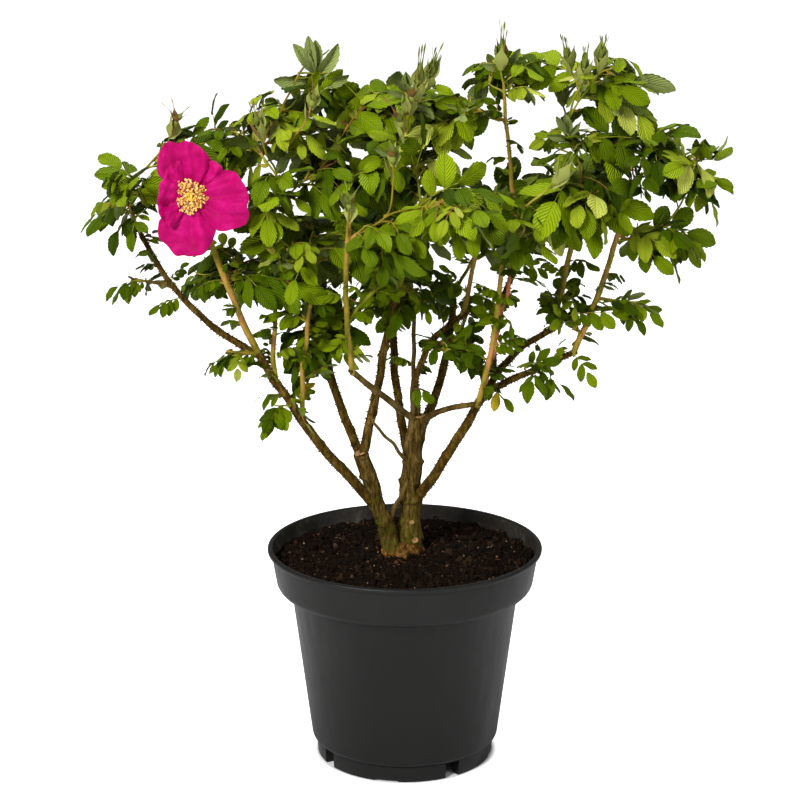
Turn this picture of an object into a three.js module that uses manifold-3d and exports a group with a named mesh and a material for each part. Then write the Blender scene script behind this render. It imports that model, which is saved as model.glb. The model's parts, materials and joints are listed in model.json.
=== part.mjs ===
// A shrub rose in its nursery pot: moulded pot, root ball, two short trunks, bare boughs and canes,
// one open bloom, and a crown made of separate foliage masses.
//
// Millimetres, +Z up, +X to the right, +Y to the back. The origin is the centre of the pot's underside.

import * as THREE from 'three';
import * as BufferGeometryUtils from 'three/addons/utils/BufferGeometryUtils.js';
import Module from 'manifold-3d';

const wasm = await Module();
wasm.setup();

// ---------------------------------------------------------------- driving dimensions

const fitGap = 0.3;                  // clearance left wherever two solids would touch

const pot = {
  height: 183,
  lipRadius: 115,                    // outermost edge of the rolled lip
  lipHeight: 5,
  lipProfile: [                      // how far in from that edge, and how far up from the lip's foot
    [0.6, 0.5],
    [0, 1.8],
    [0.4, 3.8],
    [1.5, 5],
    [3.2, 5],
  ],
  bandTopRadius: 112,                // deep band under the lip
  bandBottomRadius: 108,
  bandBottom: 146,
  bandRound: 9,                      // rounding under the band
  bodyTopRadius: 95.6,
  bodyBottomRadius: 79.6,
  bodyRound: 6,                      // rounding where the wall turns into the base
  wall: 2,
  footHeight: 13.7,
  footRadius: 74.5,
  footFlare: 0.5,                    // how much wider the foot ring is at its top
  footWidth: 9,
  hubRadius: 30,                     // flat disc in the middle of the underside
  footGapWidth: 13,
  footGapWeb: 1,                     // left standing above each gap
  footGapAngle: 32,                  // first gap, turned from the front towards the right
  footCount: 4,
  notchWidth: 19,                    // shallow nick in the edge of every foot
  notchHeight: 1.5,
  notchAngle: -15,
  drainHoleRadius: 5,
  drainHoleCircle: 50,
  drainHoleCount: 6,
  drainHoleSides: 8,
  segments: 40,
};

const soil = {
  level: 171,
  mound: 4,                          // how far the root ball rises at the stems
  moundFlat: 27,                     // radius of its level top
  moundFoot: 80,
  ripple: 0.9,                       // height of the uneven surface, in waves of these lengths
  rippleWaves: [9, 11, 17],
  ringShares: [0.86, 0.66, 0.46, 0.25],
};

const stemBase = soil.level + soil.mound + fitGap;

const limbSides = 6;
const limbStep = 36;                 // longest stretch between two rings of a limb
const limbTaper = 0.8;               // below 1, a limb thins out faster near its foot
const trunkExtraRings = 3;           // a trunk has more rings, for the flare of its foot

// ---------------------------------------------------------------- general tools

const vec = (p) => new THREE.Vector3(...p);

// Manifold solid from a three.js geometry whose shared corners are welded first.
function solidOf(geometry) {
  const bare = new THREE.BufferGeometry();
  bare.setAttribute('position', geometry.getAttribute('position').clone());
  if (geometry.index) {
    bare.setIndex(geometry.index.clone());
  }
  const welded = BufferGeometryUtils.mergeVertices(bare, 1e-4);
  const corners = [];
  const index = welded.index.array;
  for (let i = 0; i < index.length; i += 3) {
    const [a, b, c] = [index[i], index[i + 1], index[i + 2]];
    if (a !== b && b !== c && c !== a) {
      corners.push(a, b, c);
    }
  }
  return new wasm.Manifold(new wasm.Mesh({
    numProp: 3,
    vertProperties: new Float32Array(welded.getAttribute('position').array),
    triVerts: new Uint32Array(corners),
  }));
}

function geometryOf(solid) {
  const mesh = solid.getMesh();
  const geometry = new THREE.BufferGeometry();
  geometry.setAttribute('position', new THREE.BufferAttribute(new Float32Array(mesh.vertProperties), 3));
  geometry.setIndex(new THREE.BufferAttribute(new Uint32Array(mesh.triVerts), 1));
  return geometry;
}

// The largest connected piece, so that a cut never leaves loose crumbs behind.
function mainPiece(solid) {
  const pieces = solid.decompose();
  pieces.sort((a, b) => b.volume() - a.volume());
  return pieces[0];
}

// A solid with every neighbour that touches its box cut away, then thinned to sensible facets.
function cutClear(solid, neighbours, simplify = 0.05) {
  const box = solid.boundingBox();
  const reaches = (other) => {
    const b = other.boundingBox();
    return [0, 1, 2].every((k) => b.min[k] < box.max[k] && b.max[k] > box.min[k]);
  };
  const near = neighbours.filter(reaches);
  const cut = near.reduce((rest, other) => rest.subtract(other), solid);
  return mainPiece(cut.simplify(simplify));
}

// Repeatable random numbers between 0 and 1.
function randomFrom(seed) {
  let state = seed >>> 0;
  return () => {
    state = (state + 0x6d2b79f5) >>> 0;
    let t = state;
    t = Math.imul(t ^ (t >>> 15), t | 1);
    t ^= t + Math.imul(t ^ (t >>> 7), t | 61);
    return ((t ^ (t >>> 14)) >>> 0) / 4294967296;
  };
}

const parts = [];

function addPart(name, solid, color, roughness = 0.8) {
  const material = new THREE.MeshStandardMaterial({ color, roughness, metalness: 0 });
  const mesh = new THREE.Mesh(geometryOf(solid), material);
  mesh.name = name;
  parts.push(mesh);
  return mesh;
}

// ---------------------------------------------------------------- pot

const potSimplify = 0.001;           // keeps every facet of the moulded outline

// Points of a rounded corner, from one angle to another in degrees.
function arc(radius, height, round, from, to, steps = 4) {
  const points = [];
  for (let i = 0; i <= steps; i += 1) {
    const a = THREE.MathUtils.degToRad(from + ((to - from) * i) / steps);
    points.push([radius + round * Math.cos(a), height + round * Math.sin(a)]);
  }
  return points;
}

// Rounding of a corner of the pot: its angles in degrees, and how many faces it has.
const insideBandArc = [-80, -8, 2];
const outsideBandArc = [-85, -5, 3];
const heelArc = [-70, -5, 2];

// Solid of revolution about Z from [radius, height] pairs that start and end on the axis.
function turned(profile, segments = pot.segments) {
  const points = profile.map(([r, z]) => new THREE.Vector2(r, z));
  return solidOf(new THREE.LatheGeometry(points, segments).rotateX(Math.PI / 2));
}

// The wall as the soil sees it, from the floor up; inset moves it inwards.
function innerWall(inset) {
  const out = pot.wall + inset;
  const bandRound = pot.bandRound - pot.wall;
  const bandFoot = pot.bandBottom + pot.wall;
  const heelSlope = pot.bodyRound * 0.8;
  return [
    [pot.bodyBottomRadius - out - heelSlope, pot.footHeight + pot.wall + inset],
    [pot.bodyBottomRadius - out, pot.footHeight + pot.bodyRound],
    [pot.bodyTopRadius - out, bandFoot],
    ...arc(pot.bandBottomRadius - out - bandRound, bandFoot + bandRound, bandRound, ...insideBandArc),
    [pot.bandTopRadius - out, pot.height - pot.lipHeight],
  ];
}

function bandWallRadius(height) {
  const low = pot.bandBottom + pot.bandRound;
  const high = pot.height - pot.lipHeight;
  return THREE.MathUtils.mapLinear(height, low, high, pot.bandBottomRadius, pot.bandTopRadius) - pot.wall;
}

function makePot() {
  const lipBottom = pot.height - pot.lipHeight;
  const heelHeight = pot.footHeight + pot.bodyRound;
  const bandHeight = pot.bandBottom + pot.bandRound;
  const outside = [
    [0, 0],
    [pot.hubRadius, 0],
    [pot.hubRadius, pot.footHeight],
    [pot.footRadius - pot.footWidth, pot.footHeight],
    [pot.footRadius - pot.footWidth, 0],
    [pot.footRadius, 0],
    [pot.footRadius + pot.footFlare, pot.footHeight],
    ...arc(pot.bodyBottomRadius - pot.bodyRound, heelHeight, pot.bodyRound, ...heelArc),
    [pot.bodyTopRadius, pot.bandBottom],
    ...arc(pot.bandBottomRadius - pot.bandRound, bandHeight, pot.bandRound, ...outsideBandArc),
    [pot.bandTopRadius, lipBottom],
    ...pot.lipProfile.map(([inward, up]) => [pot.lipRadius - inward, lipBottom + up]),
  ];
  const inside = innerWall(0).reverse();
  const body = turned([...outside, ...inside, [0, pot.footHeight + pot.wall]]);
  const cutters = [];
  for (let i = 0; i < pot.footCount; i += 1) {
    const turn = (360 / pot.footCount) * i;
    cutters.push(footCut(pot.footGapWidth, pot.footHeight - pot.footGapWeb, pot.footGapAngle + turn));
    cutters.push(footCut(pot.notchWidth, pot.notchHeight, pot.notchAngle + turn));
  }
  const { drainHoleRadius, drainHoleSides, wall } = pot;
  for (let i = 0; i < pot.drainHoleCount; i += 1) {
    const angle = (i / pot.drainHoleCount) * Math.PI * 2;
    const hole = new THREE.CylinderGeometry(drainHoleRadius, drainHoleRadius, wall * 4, drainHoleSides);
    hole.rotateX(Math.PI / 2);
    hole.translate(
      pot.drainHoleCircle * Math.cos(angle),
      pot.drainHoleCircle * Math.sin(angle),
      pot.footHeight + wall / 2,
    );
    cutters.push(solidOf(hole));
  }
  return cutClear(body, cutters, potSimplify);
}

// A block that cuts a slot through the foot ring; the angle turns from the front to the right.
function footCut(width, height, degrees) {
  const slot = new THREE.BoxGeometry(width, pot.footWidth * 2, height * 2);
  slot.translate(0, -(pot.footRadius - pot.footWidth / 2), 0);
  slot.rotateZ(THREE.MathUtils.degToRad(degrees));
  return solidOf(slot);
}

// ---------------------------------------------------------------- root ball

function soilHeight(x, y) {
  const reach = Math.hypot(x, y);
  const rise = 1 - THREE.MathUtils.smoothstep(reach, soil.moundFlat, soil.moundFoot);
  const [across, along, slanting] = soil.rippleWaves;
  const ripple = Math.sin(x / across + 1) * Math.cos(y / along) + Math.sin((x + y) / slanting);
  return soil.level + soil.mound * rise + soil.ripple * ripple * (1 - rise);
}

function makeSoil() {
  const rimRadius = bandWallRadius(soil.level) - fitGap;
  const wall = innerWall(fitGap).slice(0, -1);
  const rings = [1, ...soil.ringShares, 0].map((share) => [rimRadius * share, soil.level]);
  const profile = [[0, pot.footHeight + pot.wall + fitGap], ...wall, ...rings];
  const points = profile.map(([r, z]) => new THREE.Vector2(r, z));
  const ball = new THREE.LatheGeometry(points, pot.segments).rotateX(Math.PI / 2);
  const position = ball.getAttribute('position');
  for (let i = 0; i < position.count; i += 1) {
    const [x, y, z] = [position.getX(i), position.getY(i), position.getZ(i)];
    if (z > soil.level - 0.01 && Math.hypot(x, y) < rimRadius - 1) {
      position.setZ(i, soilHeight(x, y));
    }
  }
  return solidOf(ball);
}

// ---------------------------------------------------------------- limbs

// Every limb leaves another one at a share of its length and runs to its own tip.
// bow bends it sideways at mid-length; radii go from its foot to its tip.
const limbTable = [
  { name: 'right_trunk', from: [4, 9, 170], tip: [11, 12, 290], bow: [-3, 2, 0], radii: [9.8, 8] },
  { name: 'left_trunk', from: [-7, 1, 168], tip: [-36, -12, 266], bow: [1, 1, 0], radii: [7.2, 6.6] },
  { name: 'left_bough', on: 'left_trunk', at: 0.48, tip: [-119, -34, 358], bow: [-3, -6, -5], radii: [4.6, 3.3] },
  { name: 'left_outer_bough', on: 'left_bough', at: 0.97, tip: [-213, -10, 450], bow: [-10, 5, -10], radii: [3.1, 2] },
  { name: 'bloom_cane', on: 'left_bough', at: 0.985, tip: [-160, -44, 466], bow: [0, -8, -1], radii: [2.7, 2] },
  { name: 'left_back_bough', on: 'left_trunk', at: 0.9, tip: [-66, 52, 424], bow: [-15, 3, -3], radii: [4, 2.8] },
  { name: 'left_inner_bough', on: 'left_trunk', at: 0.96, tip: [2, -14, 447], bow: [0, -3, 0], radii: [4.3, 2.4] },
  { name: 'centre_twig', on: 'right_trunk', at: 0.97, tip: [-44, -56, 348], bow: [0, -3, 0], radii: [2.8, 2.2] },
  { name: 'centre_cane', on: 'centre_twig', at: 0.96, tip: [-43, -70, 470], bow: [-4, -5, 0], radii: [2.2, 1.8] },
  { name: 'back_centre_bough', on: 'right_trunk', at: 0.62, tip: [-8, 76, 410], bow: [-8, 2, 0], radii: [4, 2.8] },
  { name: 'mid_bough', on: 'right_trunk', at: 0.98, tip: [52, 0, 384], bow: [-18, -6, 9], radii: [3, 2.3] },
  { name: 'back_right_bough', on: 'right_trunk', at: 0.8, tip: [42, 84, 376], bow: [7, 2, -2], radii: [4.2, 3] },
  { name: 'right_bough', on: 'right_trunk', at: 0.33, tip: [67, -12, 320], bow: [1, -2, -2], radii: [4.8, 3.6] },
  { name: 'right_fork_bough', on: 'right_bough', at: 0.96, tip: [124, 10, 367], bow: [-6, 0, 6], radii: [3.3, 2.5] },
  { name: 'right_upright_cane', on: 'right_fork_bough', at: 0.96, tip: [139, 2, 462], bow: [1, -2, 0], radii: [2.4, 1.9] },
  { name: 'back_fork_bough', on: 'right_fork_bough', at: 0.2, tip: [94, 24, 418], bow: [-8, 0, 2], radii: [2.8, 2.2] },
  { name: 'right_outer_bough', on: 'right_bough', at: 0.985, tip: [141, -6, 351], bow: [-1, -2, 1], radii: [3.1, 2.4] },
  { name: 'right_outer_cane', on: 'right_outer_bough', at: 0.96, tip: [176, 2, 460], bow: [3, 2, -1], radii: [2.4, 1.9] },
  { name: 'link_twig', on: 'right_trunk', at: 0.955, tip: [62, -33, 314], bow: [-3, -2, 4], radii: [2.6, 2.1] },
  { name: 'front_right_cane', on: 'link_twig', at: 0.96, tip: [77, -42, 432], bow: [3, -2, -1], radii: [2.2, 1.8] },
];

// How the woody foot widens into roots over the lowest part of a trunk.
const flare = { height: 22, widen: 0.3 };

const routes = {};

function routePoint(route, t) {
  const along = new THREE.Vector3().lerpVectors(route.start, route.tip, t);
  return along.addScaledVector(route.bow, 4 * t * (1 - t));
}

function routeOf(limb) {
  const start = limb.on ? routePoint(routes[limb.on], limb.at) : vec(limb.from);
  return { start, tip: vec(limb.tip), bow: vec(limb.bow), radii: limb.radii, rooted: !limb.on };
}

function routeRadius(route, t, z) {
  const [foot, end] = route.radii;
  const plain = foot + (end - foot) * Math.pow(t, limbTaper);
  if (!route.rooted) {
    return plain;
  }
  const near = Math.max(0, 1 - Math.max(0, z - stemBase) / flare.height);
  return plain * (1 + flare.widen * near * near);
}

// Closed tapering tube along a route; grow makes it fatter and longer for use as a cutter.
function limbSolid(route, grow = 0) {
  const length = route.start.distanceTo(route.tip);
  const rings = Math.max(3, Math.ceil(length / limbStep) + (route.rooted ? trunkExtraRings : 0));
  const positions = [];
  const index = [];
  const side = new THREE.Vector3();
  const up = new THREE.Vector3();
  for (let i = 0; i <= rings; i += 1) {
    const t = i / rings;
    const centre = routePoint(route, t);
    const ahead = routePoint(route, t + 0.01).sub(routePoint(route, t - 0.01)).normalize();
    if (i === 0) {
      centre.addScaledVector(ahead, -grow);
    }
    if (i === rings) {
      centre.addScaledVector(ahead, grow);
    }
    side.set(0, 1, 0).cross(ahead).normalize();
    up.crossVectors(ahead, side);
    const radius = routeRadius(route, t, centre.z) + grow;
    for (let k = 0; k < limbSides; k += 1) {
      const a = (k / limbSides) * Math.PI * 2;
      const corner = centre.clone();
      corner.addScaledVector(side, radius * Math.cos(a));
      corner.addScaledVector(up, radius * Math.sin(a));
      positions.push(corner.x, corner.y, corner.z);
    }
  }
  for (let i = 0; i < rings; i += 1) {
    for (let k = 0; k < limbSides; k += 1) {
      const a = i * limbSides + k;
      const b = i * limbSides + ((k + 1) % limbSides);
      index.push(a, b, a + limbSides);
      index.push(b, b + limbSides, a + limbSides);
    }
  }
  const last = rings * limbSides;
  for (let k = 1; k < limbSides - 1; k += 1) {
    index.push(0, k + 1, k);
    index.push(last, last + k, last + k + 1);
  }
  const geometry = new THREE.BufferGeometry();
  geometry.setAttribute('position', new THREE.Float32BufferAttribute(positions, 3));
  geometry.setIndex(index);
  return solidOf(geometry);
}

// ---------------------------------------------------------------- bloom

const bloom = {
  centre: [-166, -60, 489],
  depth: 12,                         // how far the petal tips bend to the front
  thickness: 5,
  thinning: 0.6,                     // share of the thickness that is gone at the rim
  heart: 0.35,                       // outline radius between two petals, as a share of their length
  roundness: 3,                      // how squarely the tip of a petal is rounded
  steps: 30,
  ringShares: [0.5, 1],
  turn: -6,                          // the face looks slightly to the left
  petals: [                          // direction counter-clockwise from the right, length, half width
    { angle: 100, length: 49, spread: 36 },
    { angle: 52, length: 44, spread: 30 },
    { angle: -12, length: 51, spread: 38 },
    { angle: -103, length: 48, spread: 40 },
    { angle: 160, length: 27, spread: 30 },
  ],
};

function bloomReach(degrees) {
  const lobes = bloom.petals.map(({ angle, length, spread }) => {
    const off = Math.abs(THREE.MathUtils.euclideanModulo(degrees - angle + 180, 360) - 180);
    const fall = Math.min(1, off / spread);
    return length * (1 - (1 - bloom.heart) * Math.pow(fall, bloom.roundness));
  });
  return Math.max(...lobes);
}

// Closed five-petalled dish, facing the front.
function makeBloom() {
  const { steps } = bloom;
  const positions = [0, 0, 0, 0, bloom.thickness, 0];
  const index = [];
  for (const backSide of [0, 1]) {
    for (const share of bloom.ringShares) {
      for (let i = 0; i < steps; i += 1) {
        const degrees = (i / steps) * 360;
        const reach = bloomReach(degrees) * share;
        const a = THREE.MathUtils.degToRad(degrees);
        const dish = -bloom.depth * share * share;
        const thick = bloom.thickness * (1 - bloom.thinning * share) * backSide;
        positions.push(reach * Math.cos(a), dish + thick, reach * Math.sin(a));
      }
    }
  }
  const at = (backSide, ring, i) => 2 + (backSide * 2 + ring) * steps + (i % steps);
  for (let i = 0; i < steps; i += 1) {
    index.push(0, at(0, 0, i), at(0, 0, i + 1));
    index.push(1, at(1, 0, i + 1), at(1, 0, i));
    for (const [backSide, flip] of [[0, false], [1, true]]) {
      const [a, b] = [at(backSide, 0, i), at(backSide, 0, i + 1)];
      const [c, d] = [at(backSide, 1, i), at(backSide, 1, i + 1)];
      const faces = [[a, c, d], [a, d, b]];
      faces.forEach((f) => index.push(...(flip ? f.reverse() : f)));
    }
    index.push(at(0, 1, i), at(1, 1, i), at(1, 1, i + 1));
    index.push(at(0, 1, i), at(1, 1, i + 1), at(0, 1, i + 1));
  }
  const geometry = new THREE.BufferGeometry();
  geometry.setAttribute('position', new THREE.Float32BufferAttribute(positions, 3));
  geometry.setIndex(index);
  geometry.rotateZ(THREE.MathUtils.degToRad(bloom.turn));
  geometry.translate(...bloom.centre);
  return solidOf(geometry);
}

// ---------------------------------------------------------------- foliage masses

// Centre and half sizes of every tuft of leafy shoots; tilt leans it in the front plane, in degrees.
const massTable = [
  { name: 'leaves_far_left', at: [-223, -8, 474], half: [33, 40, 33], tilt: 10 },
  { name: 'leaves_behind_bloom', at: [-184, 16, 508], half: [29, 28, 24], tilt: -20 },
  { name: 'leaves_left_shoulder', at: [-132, 4, 524], half: [32, 46, 28], tilt: 15 },
  { name: 'leaves_left_inner', at: [-106, -36, 484], half: [28, 42, 25], tilt: -10 },
  { name: 'leaves_under_bloom', at: [-146, -10, 421], half: [41, 44, 25], tilt: -12 },
  { name: 'leaves_left_spray', at: [-223, 6, 407], half: [25, 16, 9], tilt: 12 },
  { name: 'leaves_left_low_spray', at: [-143, -46, 356], half: [22, 16, 11], tilt: -24 },
  { name: 'leaves_foot_left', at: [-95, -40, 314], half: [24, 22, 12], tilt: -16 },
  { name: 'leaves_peak_left', at: [-69, 14, 584], half: [22, 30, 25], tilt: 0 },
  { name: 'leaves_upper_left', at: [-94, -8, 543], half: [36, 44, 25], tilt: 18 },
  { name: 'leaves_upper_centre_left', at: [-38, 30, 541], half: [33, 44, 27], tilt: -12 },
  { name: 'leaves_mid_left', at: [-58, -20, 498], half: [33, 44, 27], tilt: 8 },
  { name: 'leaves_centre_left', at: [-84, -22, 441], half: [40, 50, 33], tilt: -6 },
  { name: 'leaves_low_left', at: [-70, 6, 362], half: [37, 46, 36], tilt: 12 },
  { name: 'leaves_top_centre', at: [6, 0, 556], half: [28, 36, 23], tilt: -8 },
  { name: 'leaves_centre_upper', at: [0, -30, 512], half: [36, 44, 29], tilt: 10 },
  { name: 'leaves_centre', at: [-14, -74, 457], half: [34, 44, 28], tilt: -14 },
  { name: 'leaves_centre_low', at: [-6, 14, 396], half: [44, 50, 29], tilt: 6 },
  { name: 'leaves_centre_sprig', at: [45, -14, 356], half: [25, 26, 17], tilt: 30 },
  { name: 'leaves_top_mid', at: [44, -10, 546], half: [26, 36, 24], tilt: 12 },
  { name: 'leaves_front', at: [37, -96, 486], half: [36, 44, 24], tilt: -6 },
  { name: 'leaves_mid_right', at: [84, -54, 464], half: [37, 48, 28], tilt: 8 },
  { name: 'leaves_peak_mid', at: [82, 8, 573], half: [34, 38, 28], tilt: -10 },
  { name: 'leaves_peak_right', at: [160, 4, 569], half: [44, 48, 28], tilt: 6 },
  { name: 'leaves_right_shoulder', at: [134, -12, 528], half: [34, 40, 22], tilt: -14 },
  { name: 'leaves_right_mid', at: [144, -18, 480], half: [40, 48, 26], tilt: 10 },
  { name: 'leaves_right_side', at: [193, -14, 511], half: [28, 40, 30], tilt: 16 },
  { name: 'leaves_right_end', at: [231, 0, 501], half: [27, 40, 31], tilt: -10 },
  { name: 'leaves_right_low', at: [205, 4, 446], half: [46, 34, 18], tilt: -4 },
  { name: 'leaves_right_hand', at: [130, 2, 388], half: [23, 28, 19], tilt: 40 },
  { name: 'leaves_right_spray', at: [187, -2, 386], half: [26, 16, 10], tilt: -8 },
  { name: 'leaves_low_right_spray', at: [108, -30, 341], half: [27, 18, 11], tilt: 14 },
  { name: 'leaves_back_left', at: [-92, 98, 420], half: [48, 54, 40], tilt: 8 },
  { name: 'leaves_back_centre', at: [-14, 124, 432], half: [44, 50, 42], tilt: -10 },
  { name: 'leaves_back_top', at: [8, 82, 530], half: [46, 44, 28], tilt: 6 },
  { name: 'leaves_back_right', at: [88, 102, 446], half: [48, 54, 38], tilt: -8 },
  { name: 'leaves_back_far_right', at: [152, 78, 480], half: [40, 44, 32], tilt: 12 },
];

const lumpiness = 0.2;               // how far a mass strays from a plain egg shape
const lumpWaves = { count: 4, pitch: 2, pitchRange: 2.5 };
const massGap = fitGap * 2;          // masses stand this far clear of each other
const massSimplify = 0.25;           // facets smaller than this are merged after the cuts

// Uneven closed lump of foliage, grown by a fixed distance when it serves as a cutter.
function massSolid(mass, seed, grow = 0) {
  const random = randomFrom(seed);
  const waves = [];
  for (let i = 0; i < lumpWaves.count; i += 1) {
    const direction = new THREE.Vector3(random() - 0.5, random() - 0.5, random() - 0.5).normalize();
    const pitch = lumpWaves.pitch + random() * lumpWaves.pitchRange;
    waves.push({ direction, pitch, phase: random() * Math.PI * 2 });
  }
  const lump = new THREE.IcosahedronGeometry(1, 1);
  const position = lump.getAttribute('position');
  const [hx, hy, hz] = mass.half.map((size) => size + grow);
  for (let i = 0; i < position.count; i += 1) {
    const p = new THREE.Vector3().fromBufferAttribute(position, i);
    const swell = waves.reduce((sum, w) => sum + Math.sin(p.dot(w.direction) * w.pitch + w.phase), 0);
    p.multiplyScalar(1 + (lumpiness * swell) / waves.length);
    position.setXYZ(i, p.x * hx, p.y * hy, p.z * hz);
  }
  lump.rotateY(THREE.MathUtils.degToRad(mass.tilt));
  lump.translate(...mass.at);
  return solidOf(lump);
}

// ---------------------------------------------------------------- assembly

const potColor = 0x2c2c2d;
const soilColor = 0x2a1a11;
const barkColor = 0x5a4a32;
const caneColor = 0x8c7434;
const petalColor = 0xc8105c;
const leafColors = [0x3f7a1c, 0x4d8a22, 0x2f6416, 0x5f9a2c];

addPart('pot', makePot(), potColor, 0.55);
addPart('soil', makeSoil(), soilColor, 0.95);

const cutters = [];
for (const limb of limbTable) {
  const route = routeOf(limb);
  routes[limb.name] = route;
  let solid = limbSolid(route);
  if (route.rooted) {
    solid = solid.trimByPlane([0, 0, 1], stemBase);
  }
  const isCane = /cane|twig/.test(limb.name);
  addPart(limb.name, cutClear(solid, cutters), isCane ? caneColor : barkColor);
  cutters.push(limbSolid(route, fitGap));
}

const bloomSolid = makeBloom();
addPart('bloom', cutClear(bloomSolid, cutters), petalColor, 0.6);
cutters.push(bloomSolid);

massTable.forEach((mass, i) => {
  const cut = cutClear(massSolid(mass, i + 1), cutters, massSimplify);
  addPart(mass.name, cut, leafColors[i % leafColors.length], 0.7);
  cutters.push(massSolid(mass, i + 1, massGap));
});

const rosebush = new THREE.Group();
rosebush.name = 'potted_rose_bush';
parts.forEach((mesh) => rosebush.add(mesh));

export default rosebush;
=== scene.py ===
# %% [markdown]
# # A shrub rose in its nursery pot
# The real plant is a young bush with two short trunks, a fan of bare boughs, and a crown of
# quilted, toothed leaves with one open bloom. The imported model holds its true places: every
# bough is a tapering solid, and every tuft of foliage is a plain lump. This lesson reads those
# solids and grows bark, prickles, twigs, leaves and petals where they stand.

import json
import math

import bpy
import numpy as np
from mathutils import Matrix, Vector
from mathutils.bvhtree import BVHTree


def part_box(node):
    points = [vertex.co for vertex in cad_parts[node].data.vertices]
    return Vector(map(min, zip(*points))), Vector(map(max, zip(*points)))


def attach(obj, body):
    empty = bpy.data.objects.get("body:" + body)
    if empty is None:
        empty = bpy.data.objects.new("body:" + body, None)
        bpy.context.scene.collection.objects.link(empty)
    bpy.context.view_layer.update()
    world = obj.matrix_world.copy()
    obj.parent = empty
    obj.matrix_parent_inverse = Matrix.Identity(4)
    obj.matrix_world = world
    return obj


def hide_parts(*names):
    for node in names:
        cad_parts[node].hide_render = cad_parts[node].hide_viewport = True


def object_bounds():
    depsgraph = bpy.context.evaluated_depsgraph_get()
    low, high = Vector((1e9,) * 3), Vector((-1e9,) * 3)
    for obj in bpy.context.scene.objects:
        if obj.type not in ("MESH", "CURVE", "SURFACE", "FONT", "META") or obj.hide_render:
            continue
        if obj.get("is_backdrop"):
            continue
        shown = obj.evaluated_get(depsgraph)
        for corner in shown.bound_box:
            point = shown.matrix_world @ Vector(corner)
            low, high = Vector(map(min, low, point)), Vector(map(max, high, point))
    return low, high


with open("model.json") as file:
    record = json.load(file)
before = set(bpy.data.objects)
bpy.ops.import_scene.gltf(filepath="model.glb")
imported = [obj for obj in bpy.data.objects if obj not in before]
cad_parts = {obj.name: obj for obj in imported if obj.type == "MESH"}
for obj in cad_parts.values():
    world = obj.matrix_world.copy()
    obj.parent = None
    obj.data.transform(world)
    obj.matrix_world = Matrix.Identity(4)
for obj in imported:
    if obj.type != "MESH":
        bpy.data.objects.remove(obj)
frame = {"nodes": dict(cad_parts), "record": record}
CAD_LOW, CAD_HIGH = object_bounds()
MM = 0.001
SLOT_OF = {row["node"]: row["material_slot"] for row in frame["record"]["subparts"]}
LIMBS = [name for name, slot in SLOT_OF.items() if slot in ("bark", "cane")]
TRUNKS = [name for name in LIMBS if name.endswith("trunk")]
MASSES = [name for name, slot in SLOT_OF.items() if slot == "leaf"]
print("limbs", len(LIMBS), "foliage masses", len(MASSES), "box", CAD_LOW, CAD_HIGH)

# %% [markdown]
# ## Small tools
# Thousands of leaflets, prickles and crumbs would choke Blender as separate objects. A Pile
# gathers the points and faces of any number of small shapes as arrays, and turns them into one
# mesh at the end. Every point can carry a place on its blade, from stalk to tip and from one
# edge to the other, which the vein pattern reads later.

# %% A pile of small shapes that becomes one mesh
class Pile:
    """Points, faces and blade coordinates of many shapes, joined into one mesh."""

    def __init__(self):
        self.points = []
        self.blades = []
        self.corners = []
        self.sizes = []
        self.kinds = []
        self.total = 0

    def add(self, points, faces, blade=None, kind=0):
        """Put in a shape; kind is the number of its material, or one number for each face."""
        points = np.asarray(points, float)
        self.points.append(points)
        self.blades.append(np.zeros((len(points), 2)) if blade is None else blade)
        self.total += len(points)
        self.join(self.total - len(points), faces, kind)

    def join(self, first, faces, kind=0):
        """Put faces between points that are in already, counted from the point called first."""
        faces = np.asarray(faces, int)
        self.corners.append((faces + first).ravel())
        self.sizes.append(np.full(len(faces), faces.shape[1]))
        self.kinds.append(np.full(len(faces), kind) if np.isscalar(kind) else np.asarray(kind))

    def build(self, name, materials, slot, replaces=(), smooth=True):
        corners = np.concatenate(self.corners)
        sizes = np.concatenate(self.sizes)
        mesh = bpy.data.meshes.new(name)
        mesh.vertices.add(self.total)
        mesh.vertices.foreach_set("co", np.concatenate(self.points).ravel())
        mesh.loops.add(len(corners))
        mesh.loops.foreach_set("vertex_index", corners)
        mesh.polygons.add(len(sizes))
        mesh.polygons.foreach_set("loop_start", np.concatenate([[0], np.cumsum(sizes)[:-1]]))
        mesh.polygons.foreach_set("material_index", np.concatenate(self.kinds))
        mesh.polygons.foreach_set("use_smooth", np.full(len(sizes), smooth))
        blade = mesh.uv_layers.new(name="blade")
        blade.data.foreach_set("uv", np.concatenate(self.blades)[corners].ravel())
        mesh.update(calc_edges=True)
        piece = bpy.data.objects.new(name, mesh)
        bpy.context.scene.collection.objects.link(piece)
        for material in materials:
            mesh.materials.append(material)
        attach(piece, "root")
        if replaces:
            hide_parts(*replaces)
        print(name, "triangles", int((sizes - 2).sum()))
        return piece


def unit(v):
    """The vector with a length of one."""
    v = np.asarray(v, float)
    return v / max(np.linalg.norm(v), 1e-12)


def square_to(v, axis):
    """The part of v that is square to axis, as a unit vector."""
    return unit(np.asarray(v, float) - np.dot(v, axis) * np.asarray(axis, float))


def grid_faces(rows, wide):
    """Four-sided faces of an open sheet of points, row after row."""
    i, k = np.meshgrid(np.arange(rows - 1), np.arange(wide - 1), indexing="ij")
    a = (i * wide + k).ravel()
    return np.stack([a, a + wide, a + wide + 1, a + 1], axis=1)


def ring_faces(rings, sides):
    """Four-sided faces of closed rings of points, ring after ring."""
    i, k = np.meshgrid(np.arange(rings - 1), np.arange(sides), indexing="ij")
    a = (i * sides + k).ravel()
    b = (i * sides + (k + 1) % sides).ravel()
    return np.stack([a, b, b + sides, a + sides], axis=1)


UP = np.array([0.0, 0.0, 1.0])
SPIRAL_TURN = 2.4  # radians from one leaf or shoot to the next round a stem, as plants have it

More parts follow.
